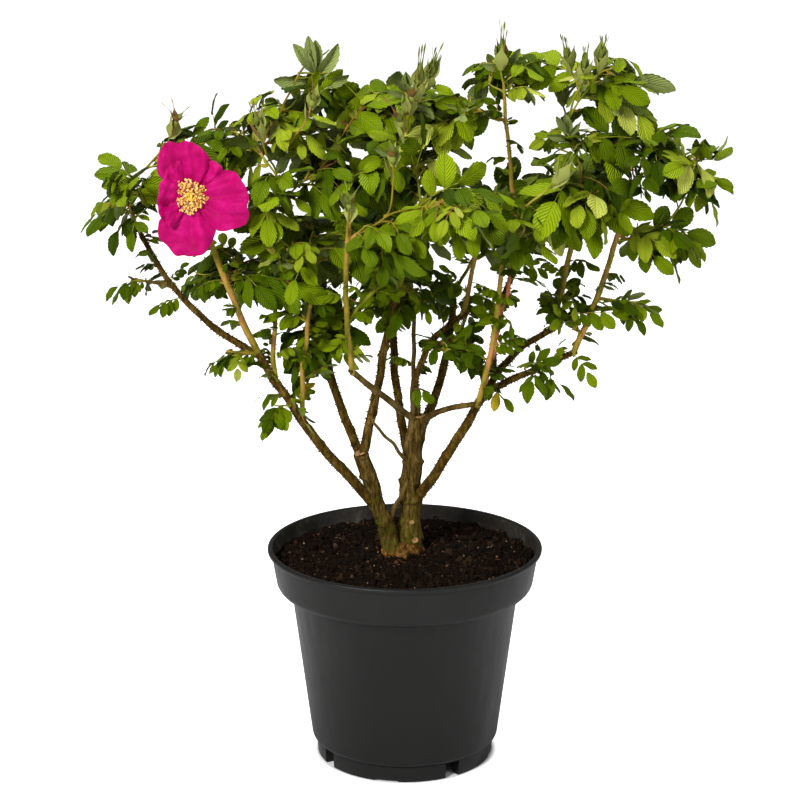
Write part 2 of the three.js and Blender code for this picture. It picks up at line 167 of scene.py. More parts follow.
# %% [markdown]
# Stems, stalks and fibres are all tubes along a path. A frame is carried from ring to ring
# without twisting, so the bark's ridges run straight along the stem. Paths come from two kinds
# of curve: a smooth one through known points, and an arc that leaves and arrives in given
# directions, as a shoot does.

# %% Paths and tubes
def through(points, count):
    """Evenly spread points on a smooth curve through the given ones."""
    p = np.asarray(points, float)
    p = np.vstack([2 * p[0] - p[1], p, 2 * p[-1] - p[-2]])
    t = np.linspace(0, len(p) - 3 - 1e-9, count)
    i = t.astype(int)
    f = (t - i)[:, None]
    a, b, c, d = p[i], p[i + 1], p[i + 2], p[i + 3]
    bend = (2 * a - 5 * b + 4 * c - d) * f**2 + (3 * b - a - 3 * c + d) * f**3
    return 0.5 * (2 * b + (c - a) * f + bend)


def arch(start, leave, end, arrive, count):
    """Points on the curve that leaves start along one vector and reaches end along another."""
    t = np.linspace(0, 1, count)[:, None]
    h = [2 * t**3 - 3 * t**2 + 1, t**3 - 2 * t**2 + t, 3 * t**2 - 2 * t**3, t**3 - t**2]
    return h[0] * start + h[1] * np.asarray(leave) + h[2] * end + h[3] * np.asarray(arrive)


def carried_frame(path):
    """Direction, side and top vectors at every point of a path, without twist."""
    ahead = np.gradient(path, axis=0)
    ahead /= np.linalg.norm(ahead, axis=1)[:, None] + 1e-12
    side = np.zeros_like(path)
    side[0] = square_to([0.0, 1.0, 0.01] if abs(ahead[0][1]) < 0.9 else [1.0, 0.0, 0.0], ahead[0])
    for i in range(1, len(path)):
        side[i] = square_to(side[i - 1], ahead[i])
    return ahead, side, np.cross(ahead, side)


def distances(path):
    """How far along the path each of its points is."""
    steps = np.linalg.norm(np.diff(path, axis=0), axis=1)
    return np.concatenate([[0], np.cumsum(steps)])


def point_at(place, along, path):
    """The value of a row of vectors, such as a path, at one distance along it."""
    return np.array([np.interp(place, along, path[:, axis]) for axis in range(3)])


def direction_at(place, along, path):
    """The direction of a path at one distance along it."""
    i = int(np.clip(np.searchsorted(along, place), 1, len(path) - 1))
    return unit(path[i] - path[i - 1])


END_BULGE = 0.3  # of the radius, how far a tube's closed end stands out


def add_tube(pile, path, radii, sides=6, kind=0, relief=None):
    """A tube with closed ends; relief is a height above the plain surface for each ring and side."""
    path = np.asarray(path, float)
    radii = np.broadcast_to(np.asarray(radii, float), (len(path),))
    ahead, side, top = carried_frame(path)
    angle = np.arange(sides) / sides * math.tau
    reach = radii[:, None] + (0 if relief is None else relief)
    points = (
        path[:, None]
        + reach[..., None] * np.cos(angle)[:, None] * side[:, None]
        + reach[..., None] * np.sin(angle)[:, None] * top[:, None]
    ).reshape(-1, 3)
    along = np.repeat(np.linspace(0, 1, len(path)), sides)
    blade = np.stack([along, np.tile(np.arange(sides) / sides, len(path))], axis=1)
    count = len(points)
    foot = path[0] - ahead[0] * radii[0] * END_BULGE
    tip = path[-1] + ahead[-1] * radii[-1] * END_BULGE
    points = np.vstack([points, foot, tip])
    blade = np.vstack([blade, [0, 0.5], [1, 0.5]])
    pile.add(points, ring_faces(len(path), sides), blade, kind)
    k = np.arange(sides)
    beside = (k + 1) % sides
    last = count - sides
    foot_fan = np.stack([np.full(sides, count), beside, k], axis=1)
    tip_fan = np.stack([np.full(sides, count + 1), last + k, last + beside], axis=1)
    pile.join(pile.total - count - 2, np.vstack([foot_fan, tip_fan]), kind)


# %% [markdown]
# ## Shared shader effects
# Several finishes need the same effects. Grain is a stretched noise that gives bark, plastic
# and soil their fine unevenness. Veins draws the midrib and slanting side veins of a leaflet
# from its blade coordinates. Settled dust gathers on faces that look up, and low growth is the
# moss that creeps up the trunks. Each is a node group, so one change reaches every material.

# %% Helpers for node trees
def link(tree, source, target):
    """Join one socket of a node tree to another."""
    tree.links.new(source, target)


def math_node(tree, kind, a, b=0.0, clamp=False):
    """One step of arithmetic on sockets or numbers; gives its result's socket."""
    node = tree.nodes.new("ShaderNodeMath")
    node.operation = kind
    node.use_clamp = clamp
    for socket, value in zip(node.inputs, (a, b)):
        if isinstance(value, (int, float)):
            socket.default_value = value
        else:
            link(tree, value, socket)
    return node.outputs[0]


def new_group(name, inputs, outputs):
    """An empty shader group; inputs are name and value, outputs are names."""
    group = bpy.data.node_groups.new(name, "ShaderNodeTree")
    for label, value in inputs:
        socket = group.interface.new_socket(label, in_out="INPUT", socket_type="NodeSocketFloat")
        socket.default_value = value
    for label in outputs:
        group.interface.new_socket(label, in_out="OUTPUT", socket_type="NodeSocketFloat")
    return group, group.nodes.new("NodeGroupInput"), group.nodes.new("NodeGroupOutput")


def split(tree, vector):
    """The three parts of a vector socket, by name."""
    parts = tree.nodes.new("ShaderNodeSeparateXYZ")
    link(tree, vector, parts.inputs[0])
    return parts.outputs


def object_place(tree):
    """X, Y and Z of the shaded point, in metres from the part's origin."""
    return split(tree, tree.nodes.new("ShaderNodeTexCoord").outputs["Object"])


# %% Grain
def make_grain():
    """Noise that can be drawn out along the height, and a second one four times finer."""
    inputs = [("Scale", 300.0), ("Stretch", 1.0), ("Roughness", 0.6)]
    group, given, out = new_group("grain", inputs, ["Value", "Fine"])
    place = object_place(group)
    joined = group.nodes.new("ShaderNodeCombineXYZ")
    link(group, place["X"], joined.inputs["X"])
    link(group, place["Y"], joined.inputs["Y"])
    link(group, math_node(group, "DIVIDE", place["Z"], given.outputs["Stretch"]), joined.inputs["Z"])
    for label, times in (("Value", 1.0), ("Fine", 4.0)):
        noise = group.nodes.new("ShaderNodeTexNoise")
        noise.inputs["Detail"].default_value = 4.0
        link(group, joined.outputs[0], noise.inputs["Vector"])
        link(group, math_node(group, "MULTIPLY", given.outputs["Scale"], times), noise.inputs["Scale"])
        link(group, given.outputs["Roughness"], noise.inputs["Roughness"])
        link(group, noise.outputs[0], out.inputs[label])
    return group


GRAIN = make_grain()


def grain_in_group(group, scale):
    """The grain's value inside another group, at the scale that a socket gives."""
    grain = group.nodes.new("ShaderNodeGroup")
    grain.node_tree = GRAIN
    link(group, scale, grain.inputs["Scale"])
    return grain.outputs["Value"]


# %% Veins
def make_veins():
    """Height and mask of a midrib and side veins on a blade: along 0 to 1, across -1 to 1."""
    group, given, out = new_group("veins", [("Count", 9.0), ("Slant", 0.32)], ["Height", "Vein"])
    uv = group.nodes.new("ShaderNodeUVMap")
    uv.uv_map = "blade"
    place = split(group, uv.outputs[0])
    across = math_node(group, "ABSOLUTE", place["Y"])
    back = math_node(group, "MULTIPLY", across, given.outputs["Slant"])
    shifted = math_node(group, "SUBTRACT", place["X"], back)
    turns = math_node(group, "MULTIPLY", shifted, given.outputs["Count"])
    wave = math_node(group, "SINE", math_node(group, "MULTIPLY", turns, math.pi))
    pillow = math_node(group, "POWER", math_node(group, "ABSOLUTE", wave), 0.5)
    midrib_sharpness = 9.0
    rib = math_node(group, "MULTIPLY", across, midrib_sharpness, clamp=True)
    height = math_node(group, "MULTIPLY", pillow, rib)
    link(group, height, out.inputs["Height"])
    link(group, math_node(group, "SUBTRACT", 1.0, height, clamp=True), out.inputs["Vein"])
    return group


VEINS = make_veins()

# %% Settled dust
def make_dust():
    """Mask of patches on the faces that look up; those that look down have none."""
    group, given, out = new_group("settled_dust", [("Amount", 0.5), ("Scale", 120.0)], ["Mask"])
    normal = split(group, group.nodes.new("ShaderNodeNewGeometry").outputs["Normal"])
    facing = math_node(group, "MULTIPLY", math_node(group, "ADD", normal["Z"], 0.35), 0.74, clamp=True)
    above_middle = math_node(group, "SUBTRACT", grain_in_group(group, given.outputs["Scale"]), 0.42)
    patches = math_node(group, "MULTIPLY", above_middle, 4.0, clamp=True)
    full = math_node(group, "MULTIPLY", facing, patches)
    link(group, math_node(group, "MULTIPLY", full, given.outputs["Amount"]), out.inputs["Mask"])
    return group


DUST = make_dust()

# %% Low growth, such as moss near the ground
def make_low_growth():
    """Mask that is full below one height and gone above another, broken up by grain."""
    inputs = [("Low", 0.19), ("High", 0.24), ("Scale", 90.0)]
    group, given, out = new_group("low_growth", inputs, ["Mask"])
    span = math_node(group, "SUBTRACT", given.outputs["High"], given.outputs["Low"])
    below = math_node(group, "SUBTRACT", given.outputs["High"], object_place(group)["Z"])
    fall = math_node(group, "DIVIDE", below, span)
    above_middle = math_node(group, "SUBTRACT", grain_in_group(group, given.outputs["Scale"]), 0.55)
    ragged = math_node(group, "ADD", fall, math_node(group, "MULTIPLY", above_middle, 5.0), clamp=True)
    link(group, ragged, out.inputs["Mask"])
    return group


LOW_GROWTH = make_low_growth()

# %% A material with an optional patterned colour, roughness and bump
def new_material(name, color, roughness, **sockets):
    """A finish of one plain colour; other sockets are given by name, with _ for each space."""
    material = bpy.data.materials.new(name)
    material.use_nodes = True
    material.diffuse_color = (*color, 1)
    shader = material.node_tree.nodes["Principled BSDF"]
    shader.inputs["Base Color"].default_value = (*color, 1)
    shader.inputs["Roughness"].default_value = roughness
    shader.inputs["Specular IOR Level"].default_value = 0.15
    for label, value in sockets.items():
        shader.inputs[label.replace("_", " ")].default_value = value
    return material


def place_group(material, group, **values):
    """A shared group placed in one material with values of its own."""
    node = material.node_tree.nodes.new("ShaderNodeGroup")
    node.node_tree = group
    for label, value in values.items():
        node.inputs[label].default_value = value
    return node


def add_bump(material, height, distance, strength=1.0):
    """A bump that goes on top of those the material has already."""
    tree = material.node_tree
    bump = tree.nodes.new("ShaderNodeBump")
    bump.inputs["Distance"].default_value = distance
    bump.inputs["Strength"].default_value = strength
    link(tree, height, bump.inputs["Height"])
    shader = tree.nodes["Principled BSDF"]
    if shader.inputs["Normal"].is_linked:
        link(tree, shader.inputs["Normal"].links[0].from_socket, bump.inputs["Normal"])
    link(tree, bump.outputs[0], shader.inputs["Normal"])


def add_tints(material, mask, stops):
    """Base colour from a mask through a ramp of place and colour stops."""
    tree = material.node_tree
    ramp = tree.nodes.new("ShaderNodeValToRGB")
    while len(ramp.color_ramp.elements) < len(stops):
        ramp.color_ramp.elements.new(0.5)
    for element, (place, color) in zip(ramp.color_ramp.elements, stops):
        element.position = place
        element.color = (*color, 1)
    link(tree, mask, ramp.inputs[0])
    link(tree, ramp.outputs[0], tree.nodes["Principled BSDF"].inputs["Base Color"])


def add_overlay(material, mask, color):
    """Lay a second colour over the patterned one where the mask is."""
    tree = material.node_tree
    shader = tree.nodes["Principled BSDF"]
    mix = tree.nodes.new("ShaderNodeMix")
    mix.data_type = "RGBA"
    link(tree, mask, mix.inputs[0])
    link(tree, shader.inputs["Base Color"].links[0].from_socket, mix.inputs[6])
    mix.inputs[7].default_value = (*color, 1)
    link(tree, mix.outputs[2], shader.inputs["Base Color"])


def add_roughness(material, mask, low, high):
    """Roughness from low to high where the mask goes from 0 to 1."""
    tree = material.node_tree
    span = tree.nodes.new("ShaderNodeMapRange")
    span.inputs["To Min"].default_value = low
    span.inputs["To Max"].default_value = high
    link(tree, mask, span.inputs[0])
    link(tree, span.outputs[0], tree.nodes["Principled BSDF"].inputs["Roughness"])


def roughen(materials, distance, **grain):
    """A fine grain as bump on finishes that keep one plain colour."""
    for material in materials:
        add_bump(material, place_group(material, GRAIN, **grain).outputs["Value"], distance)


# %% [markdown]
# ## The pot
# A nursery pot is one thin moulding: a tapering wall, a deep band that steps out, a rolled lip
# and a base with a broken foot ring. The wall is a profile turned round the axis. Its radii
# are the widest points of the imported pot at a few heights, so it can't drift from the model,
# and the foot ring is made of separate arcs, which is how the gaps come out clean.

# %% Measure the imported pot
def node_points(name):
    """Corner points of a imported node."""
    mesh = frame["nodes"][name].data
    points = np.empty(len(mesh.vertices) * 3)
    mesh.vertices.foreach_get("co", points)
    return points.reshape(-1, 3)


pot_points = node_points("pot")
pot_reach = np.hypot(pot_points[:, 0], pot_points[:, 1])
POT_TOP = pot_points[:, 2].max()
LIP = pot_reach.max()


def widest(low, high):
    """Largest radius of the pot between two heights in millimetres."""
    inside = (pot_points[:, 2] > low * MM) & (pot_points[:, 2] < high * MM)
    return pot_reach[inside].max()


FOOT = widest(-1, 1)
HEEL = widest(16, 22)
BAND_LOW = widest(153, 157)
BAND_HIGH = widest(177, 178.2)
SHOULDER = LIP * 95.7 / 115  # the wall has no ring of points right under the band
WALL = 1.4 * MM
FOOT_TOP = 13.7 * MM  # where the foot ring meets the base
BAND_FOOT = 146 * MM  # where the wall steps out into the band
HUB = 30 * MM  # radius of the flat hub under the base
pot_radii = (FOOT, HEEL, SHOULDER, BAND_LOW, BAND_HIGH, LIP)
print("pot radii in mm, from the foot up:", [round(float(r / MM), 1) for r in pot_radii])

# %% Pot finishes
pot_black = new_material("black_plastic", (0.009, 0.0087, 0.0083), 0.44, Specular_IOR_Level=0.19)
fine = place_group(pot_black, GRAIN, Scale=900.0, Stretch=1.0, Roughness=0.7)
broad = place_group(pot_black, GRAIN, Scale=26.0, Stretch=5.0, Roughness=0.6)
film = place_group(pot_black, DUST, Amount=0.35, Scale=160.0)
cloud = math_node(pot_black.node_tree, "MULTIPLY", broad.outputs["Value"], 0.45)
pot_mask = math_node(pot_black.node_tree, "ADD", film.outputs["Mask"], cloud)
add_tints(pot_black, pot_mask, [
    (0.12, (0.006, 0.0058, 0.0055)), (0.5, (0.0094, 0.0092, 0.0087)), (1.0, (0.04, 0.036, 0.029))])
add_roughness(pot_black, broad.outputs["Fine"], 0.34, 0.6)
add_bump(pot_black, fine.outputs["Value"], 0.12 * MM, 0.35)

pot_inside = new_material("plastic_inside", (0.03, 0.027, 0.022), 0.5)
splash = place_group(pot_inside, GRAIN, Scale=55.0, Stretch=1.2, Roughness=0.75)
add_tints(pot_inside, splash.outputs["Value"], [
    (0.35, (0.014, 0.012, 0.009)), (0.55, (0.026, 0.023, 0.018)), (0.75, (0.085, 0.078, 0.066))])
add_bump(pot_inside, splash.outputs["Fine"], 0.2 * MM, 0.4)

# %% Turn the wall
def arc_points(radius, height, bend, start, end, steps=8):
    """Points of an arc in the profile, round a centre at a radius and height; angles in degrees."""
    angle = np.radians(np.linspace(start, end, steps))
    return [(radius + bend * math.cos(a), height + bend * math.sin(a)) for a in angle]


def turned(pile, profile, segments=180, kinds=None):
    """A profile of radius and height turned round the pot's axis."""
    profile = np.asarray(profile, float)
    angle = np.arange(segments) / segments * math.tau
    points = np.stack([
        profile[:, :1] * np.cos(angle),
        profile[:, :1] * np.sin(angle),
        np.repeat(profile[:, 1:], segments, axis=1),
    ], axis=-1).reshape(-1, 3)
    faces = ring_faces(len(profile), segments)
    pile.add(points, faces, kind=0 if kinds is None else np.repeat(kinds, segments))


def make_pot():
    """The profile runs from the middle of the base up the outside, and down again inside."""
    outside = [
        (0.5 * MM, FOOT_TOP),
        (FOOT - 2 * MM, FOOT_TOP),
        *arc_points(HEEL - 6.5 * MM, FOOT_TOP + 6 * MM, 6 * MM, -90, -5),
        (SHOULDER - 0.6 * MM, BAND_FOOT - 2.5 * MM),
        *arc_points(SHOULDER + 2.2 * MM, BAND_FOOT - 2.2 * MM, 2.2 * MM, 175, 95, 5),
        *arc_points(BAND_LOW - 9 * MM, BAND_FOOT + 9.2 * MM, 9 * MM, -78, -3),
        (BAND_HIGH - 0.3 * MM, POT_TOP - 6 * MM),
        *arc_points(BAND_HIGH + 0.7 * MM, POT_TOP - 4.8 * MM, 0.9 * MM, 175, 100, 4),
        *arc_points(LIP - 1.6 * MM, POT_TOP - 2.4 * MM, 1.6 * MM, -70, 0, 5),
        *arc_points(LIP - 1.8 * MM, POT_TOP - 1.8 * MM, 1.8 * MM, 10, 95, 7),
        *arc_points(LIP - 3.2 * MM, POT_TOP - 1.1 * MM, 1.1 * MM, 90, 170, 4),
    ]
    inside = [
        (BAND_HIGH - WALL - 0.4 * MM, POT_TOP - 7 * MM),
        (BAND_LOW - WALL, BAND_FOOT + 9 * MM),
        (SHOULDER - WALL, BAND_FOOT),
        (HEEL - WALL, FOOT_TOP + 8 * MM),
        (HEEL - 8 * MM, FOOT_TOP + WALL),
        (0.5 * MM, FOOT_TOP + WALL),
    ]
    pile = Pile()
    kinds = np.array([0] * (len(outside) - 1) + [1] * len(inside))
    turned(pile, outside + inside, kinds=kinds)
    turned(pile, [(0.5 * MM, 0), (HUB - 0.6 * MM, 0), (HUB, 0.6 * MM), (HUB, FOOT_TOP)], 96)
    foot_arcs(pile)
    return pile.build("pot_moulding", [pot_black, pot_inside], "pot", ["pot"])


def foot_arcs(pile, count=4, gap=10.0, first=32.0, steps=40):
    """The foot ring: arcs with gaps between them, and a shallow nick in each lower edge."""
    nick = 1.5 * MM
    inner = FOOT - 8 * MM
    outline = [(inner, 1), (inner, 0), (FOOT - 0.8 * MM, 0), (FOOT, 0.08), (FOOT + 0.5 * MM, 1)]
    wide = len(outline)
    share = np.linspace(0, 1, steps)
    bottom = np.where((share > 0.43) & (share < 0.6), nick, 0.0)
    for n in range(count):
        start = first + n * 360 / count + gap / 2
        angle = np.radians(np.linspace(start, start + 360 / count - gap, steps) - 90)
        rows = [
            np.stack([r * np.cos(angle), r * np.sin(angle), bottom + (FOOT_TOP - bottom) * rise], axis=1)
            for r, rise in outline
        ]
        points = np.stack(rows, axis=1).reshape(-1, 3)
        pile.add(points, grid_faces(steps, wide))
        for ring in (0, steps - 1):
            pile.add(points[ring * wide:(ring + 1) * wide], [[0, 1, 2], [0, 2, 3], [0, 3, 4]])


make_pot()

# %% [markdown]
# ## The potting soil
# Moist peat compost is a dark, crumbly surface with pale grit, wood fibre and the odd chip. The
# surface itself is a polar grid with rough waves. Over it lie thousands of small crumbs, each
# a pinched lump of twenty faces, or of eight if it is tiny, and a few hundred fibres. Five plain
# tones are dealt out by crumb, because a pattern on pieces this small would never show.

# %% Rough waves for any surface
def waves(points, seed, pitch, count=7):
    """A smooth random height for each point; pitch is the distance between bumps."""
    rng = np.random.default_rng(seed)
    total = np.zeros(len(points))
    for _ in range(count):
        way = rng.normal(size=3)
        way *= math.tau / (pitch * rng.uniform(0.6, 1.5)) / np.linalg.norm(way)
        total += np.sin(points @ way + rng.uniform(0, math.tau))
    return total / math.sqrt(count)


def sway(path, seed, pitch, count):
    """Smooth random steps in X, Y and Z for each point of a path, from minus one to one or so."""
    return np.stack([waves(path + k, seed + k, pitch, count) for k in (0, 1, 2)], axis=1)


SOIL_TOP = node_points("soil")[:, 2].max()
SOIL_REACH = BAND_LOW + (BAND_HIGH - BAND_LOW) * 0.62 - 1.2 * MM  # just inside the band's wall
MOUND, MOUND_TOP, MOUND_SLOPE = 4 * MM, 27 * MM, 53 * MM  # height, radius of its top, width of its slope
print("soil reaches", round(float(SOIL_REACH / MM), 1), "mm out and", round(float(SOIL_TOP / MM), 1), "mm up")


def soil_height(x, y):
    """Height of the compost: a low mound round the stems, with waves of two sizes."""
    share = np.clip((np.hypot(x, y) - MOUND_TOP) / MOUND_SLOPE, 0, 1)
    rise = 1 - share**2 * (3 - 2 * share)
    flat = np.stack([x, y, np.zeros_like(x)], axis=-1).reshape(-1, 3)
    bumps = waves(flat, 3, 21 * MM) * 1.1 * MM + waves(flat, 4, 7 * MM) * 0.9 * MM
    return SOIL_TOP - MOUND - 0.8 * MM + MOUND * rise + bumps.reshape(np.shape(x))


# %% Soil finishes
SOIL_TONES = [
    (0.006, 0.0033, 0.0018), (0.011, 0.006, 0.003), (0.024, 0.0125, 0.006), (0.24, 0.17, 0.11),
    (0.08, 0.036, 0.017)]
GRIT_TONE = 3
soil_bed = new_material("peat", SOIL_TONES[0], 0.95, Specular_IOR_Level=0.05)
bed_grain = place_group(soil_bed, GRAIN, Scale=420.0, Roughness=0.75)
add_tints(soil_bed, bed_grain.outputs["Value"], [
    (0.35, (0.003, 0.0016, 0.0008)), (0.55, (0.009, 0.005, 0.0026)), (0.75, (0.026, 0.014, 0.008))])
add_bump(soil_bed, bed_grain.outputs["Fine"], 0.8 * MM)
soil_tones = [
    new_material(f"peat_crumb_{number}", tone, 0.9, Specular_IOR_Level=0.06)
    for number, tone in enumerate(SOIL_TONES, 1)]
roughen(soil_tones, 0.4 * MM, Scale=1500.0, Roughness=0.8)

# %% Lay the bed, the crumbs and the fibres
def make_soil_bed(rings=80, sectors=220):
    """A polar grid over the whole pot, whose edge dips where it meets the wall."""
    share = np.linspace(0.004, 1, rings) ** 0.85
    angle = np.arange(sectors) / sectors * math.tau
    x = SOIL_REACH * share[:, None] * np.cos(angle)
    y = SOIL_REACH * share[:, None] * np.sin(angle)
    z = soil_height(x, y)
    z[-1] -= 3 * MM
    pile = Pile()
    pile.add(np.stack([x, y, z], axis=-1).reshape(-1, 3), ring_faces(rings, sectors))
    return pile.build("soil_bed", [soil_bed], "soil", ["soil"])


def lump_shape():
    """The twenty-faced ball that every crumb is pinched from."""
    g = (1 + 5**0.5) / 2
    points = np.array([(-1, g, 0), (1, g, 0), (-1, -g, 0), (1, -g, 0), (0, -1, g), (0, 1, g),
                       (0, -1, -g), (0, 1, -g), (g, 0, -1), (g, 0, 1), (-g, 0, -1), (-g, 0, 1)])
    faces = [(0, 11, 5), (0, 5, 1), (0, 1, 7), (0, 7, 10), (0, 10, 11), (1, 5, 9), (5, 11, 4), (11, 10, 2),
             (10, 7, 6), (7, 1, 8), (3, 9, 4), (3, 4, 2), (3, 2, 6), (3, 6, 8), (3, 8, 9), (4, 9, 5),
             (2, 4, 11), (6, 2, 10), (8, 6, 7), (9, 8, 1)]
    return points / np.linalg.norm(points[0]), np.array(faces)


LUMP, LUMP_FACES = lump_shape()
# A tiny crumb is pinched from two pyramids, foot to foot.
SPECK = np.array([(1, 0, 0), (-1, 0, 0), (0, 1, 0), (0, -1, 0), (0, 0, 1), (0, 0, -1)], float)
SPECK_FACES = np.array([
    (0, 2, 4), (2, 1, 4), (1, 3, 4), (3, 0, 4), (2, 0, 5), (1, 2, 5), (3, 1, 5), (0, 3, 5)])


def random_turn(rng):
    """A matrix that turns a shape any way round."""
    return np.linalg.qr(rng.normal(size=(3, 3)))[0]


def make_crumbs(count=6800, largest=3.8 * MM, speck=0.95 * MM):
    """Crumbs all over the bed, of sizes from dust to small chips."""
    rng = np.random.default_rng(21)
    pile = Pile()
    reach = SOIL_REACH * np.sqrt(rng.uniform(0.0, 0.985, count))
    angle = rng.uniform(0, math.tau, count)
    x, y = reach * np.cos(angle), reach * np.sin(angle)
    z = soil_height(x, y)
    for i in range(count):
        size = min(0.6 * MM * rng.lognormal(0.4, 0.55), largest)
        lump, faces = (LUMP, LUMP_FACES) if size > speck else (SPECK, SPECK_FACES)
        shape = lump * rng.uniform(0.65, 1.25, (len(lump), 1)) * rng.uniform(0.6, 1.3, 3)
        turn = random_turn(rng)
        tone = rng.choice(len(SOIL_TONES), p=[0.48, 0.34, 0.14, 0.018, 0.022])
        if tone == GRIT_TONE:
            size *= 0.55
        pile.add((shape * size) @ turn + (x[i], y[i], z[i] + size * 0.25), faces, kind=tone)
    return pile.build("soil_crumbs", soil_tones, "soil", smooth=False)


def make_fibres(count=260):
    """Thin bent threads that lie on the bed."""
    rng = np.random.default_rng(22)
    pile = Pile()
    for _ in range(count):
        reach = SOIL_REACH * math.sqrt(rng.uniform(0, 0.95))
        angle = rng.uniform(0, math.tau)
        x, y = reach * math.cos(angle), reach * math.sin(angle)
        way = unit([*rng.normal(size=2), 0.05])
        long = rng.uniform(3, 10) * MM
        side = square_to(rng.normal(size=3), way)
        t = np.linspace(-0.5, 0.5, 5)[:, None]
        path = np.array([x, y, 0]) + way * t * long + side * (0.25 - t**2) * long * rng.uniform(-0.4, 0.4)
        path[:, 2] = soil_height(path[:, 0], path[:, 1]) + rng.uniform(0.6, 1.6) * MM
        thick = rng.uniform(0.12, 0.38) * MM
        tone = rng.choice([1, 2, 3, 4], p=[0.4, 0.42, 0.04, 0.14])
        add_tube(pile, path, thick, 4, kind=tone)
    return pile.build("soil_fibres", soil_tones, "soil")


make_soil_bed()
make_crumbs()
make_fibres()

# %% [markdown]
# ## Trunks and boughs
# Each packed limb is a plain six-sided taper. Slicing it square to its length gives the middle
# and the thickness at nine places, and a new tube is drawn through them with true bark: long
# ridges, swollen nodes where old leaves sat, and a skin of short bristles, which this kind of
# rose always has. The foot of the plant is knobby and scarred where older stems were cut.

# %% Read a limb's route from its solid
def limb_route(name, slices=9):
    """Points along the middle of a limb from foot to tip, and the radius at each."""
    mesh = frame["nodes"][name].data
    points = node_points(name)
    edges = np.array([e.vertices[:] for e in mesh.edges])
    low = points[points[:, 2].argmin()]
    far = points[np.linalg.norm(points - low, axis=1).argmax()]
    for _ in range(2):
        way = unit(far - low)
        height = (points - low) @ way
        spread = np.linspace(height.min(), height.max(), slices + 2)[1:-1]
        centres, radii = [], []
        for level in spread:
            a, b = height[edges[:, 0]] - level, height[edges[:, 1]] - level
            crossed = a * b < 0
            share = (a / (a - b + 1e-15))[crossed][:, None]
            hits = points[edges[crossed, 0]] * (1 - share) + points[edges[crossed, 1]] * share
            middle = (hits.max(axis=0) + hits.min(axis=0)) / 2
            centres.append(middle)
            radii.append(np.linalg.norm(hits - middle, axis=1).mean())
        low, far = centres[0], centres[-1]
    centres, radii = np.array(centres), np.array(radii)
    start = centres[0] + (centres[0] - centres[1]) * 1.25
    tip = centres[-1] + (centres[-1] - centres[-2]) * 0.9
    tip_radius = radii[-1] * 0.95
    return np.vstack([start, centres, tip]), np.concatenate([[radii[0]], radii, [tip_radius]])


ROUTES = {name: limb_route(name) for name in LIMBS}
for name, (path, radii) in ROUTES.items():
    print(name, "mm long", round(float(distances(path)[-1] / MM)), "radius", round(float(radii[1] / MM), 1),
          "to", round(float(radii[-1] / MM), 1))

# %% Bark and cane finishes
bark = new_material("bark", (0.07, 0.04, 0.004), 0.8, Specular_IOR_Level=0.06)
bark_long = place_group(bark, GRAIN, Scale=330.0, Stretch=3.5, Roughness=0.75)
add_tints(bark, bark_long.outputs["Value"], [
    (0.34, (0.014, 0.0065, 0.0005)), (0.46, (0.053, 0.029, 0.0022)),
    (0.57, (0.1, 0.058, 0.007)), (0.72, (0.2, 0.125, 0.03))])
add_bump(bark, bark_long.outputs["Fine"], 0.5 * MM)
add_bump(bark, bark_long.outputs["Value"], 1.2 * MM)

trunk_bark = new_material("trunk_bark", (0.09, 0.055, 0.008), 0.85, Specular_IOR_Level=0.06)
fissures = place_group(trunk_bark, GRAIN, Scale=360.0, Stretch=5.0, Roughness=0.75)
add_tints(trunk_bark, fissures.outputs["Value"], [
    (0.36, (0.015, 0.0085, 0.001)), (0.46, (0.06, 0.036, 0.005)),
    (0.56, (0.12, 0.075, 0.015)), (0.72, (0.26, 0.175, 0.06))])
moss = place_group(trunk_bark, LOW_GROWTH, Low=0.186, High=0.235, Scale=170.0)
thin_moss = math_node(trunk_bark.node_tree, "MULTIPLY", moss.outputs["Mask"], 0.5)
add_overlay(trunk_bark, thin_moss, (0.1, 0.1, 0.006))
add_bump(trunk_bark, fissures.outputs["Fine"], 0.6 * MM)
add_bump(trunk_bark, fissures.outputs["Value"], 1.8 * MM)

crown_bark = new_material("root_crown", (0.17, 0.08, 0.02), 0.9, Specular_IOR_Level=0.05)
crumbled = place_group(crown_bark, GRAIN, Scale=300.0, Stretch=1.5, Roughness=0.75)
add_tints(crown_bark, crumbled.outputs["Value"], [
    (0.38, (0.022, 0.01, 0.0015)), (0.5, (0.1, 0.05, 0.009)),
    (0.6, (0.24, 0.11, 0.03)), (0.72, (0.42, 0.21, 0.075))])
add_bump(crown_bark, crumbled.outputs["Value"], 2.2 * MM)

cut_wood = new_material("cut_wood", (0.36, 0.2, 0.075), 0.75)
cut_grain = place_group(cut_wood, GRAIN, Scale=500.0)
add_tints(cut_wood, cut_grain.outputs["Value"], [(0.35, (0.16, 0.075, 0.022)), (0.6, (0.42, 0.25, 0.1))])
add_bump(cut_wood, cut_grain.outputs["Fine"], 0.3 * MM)

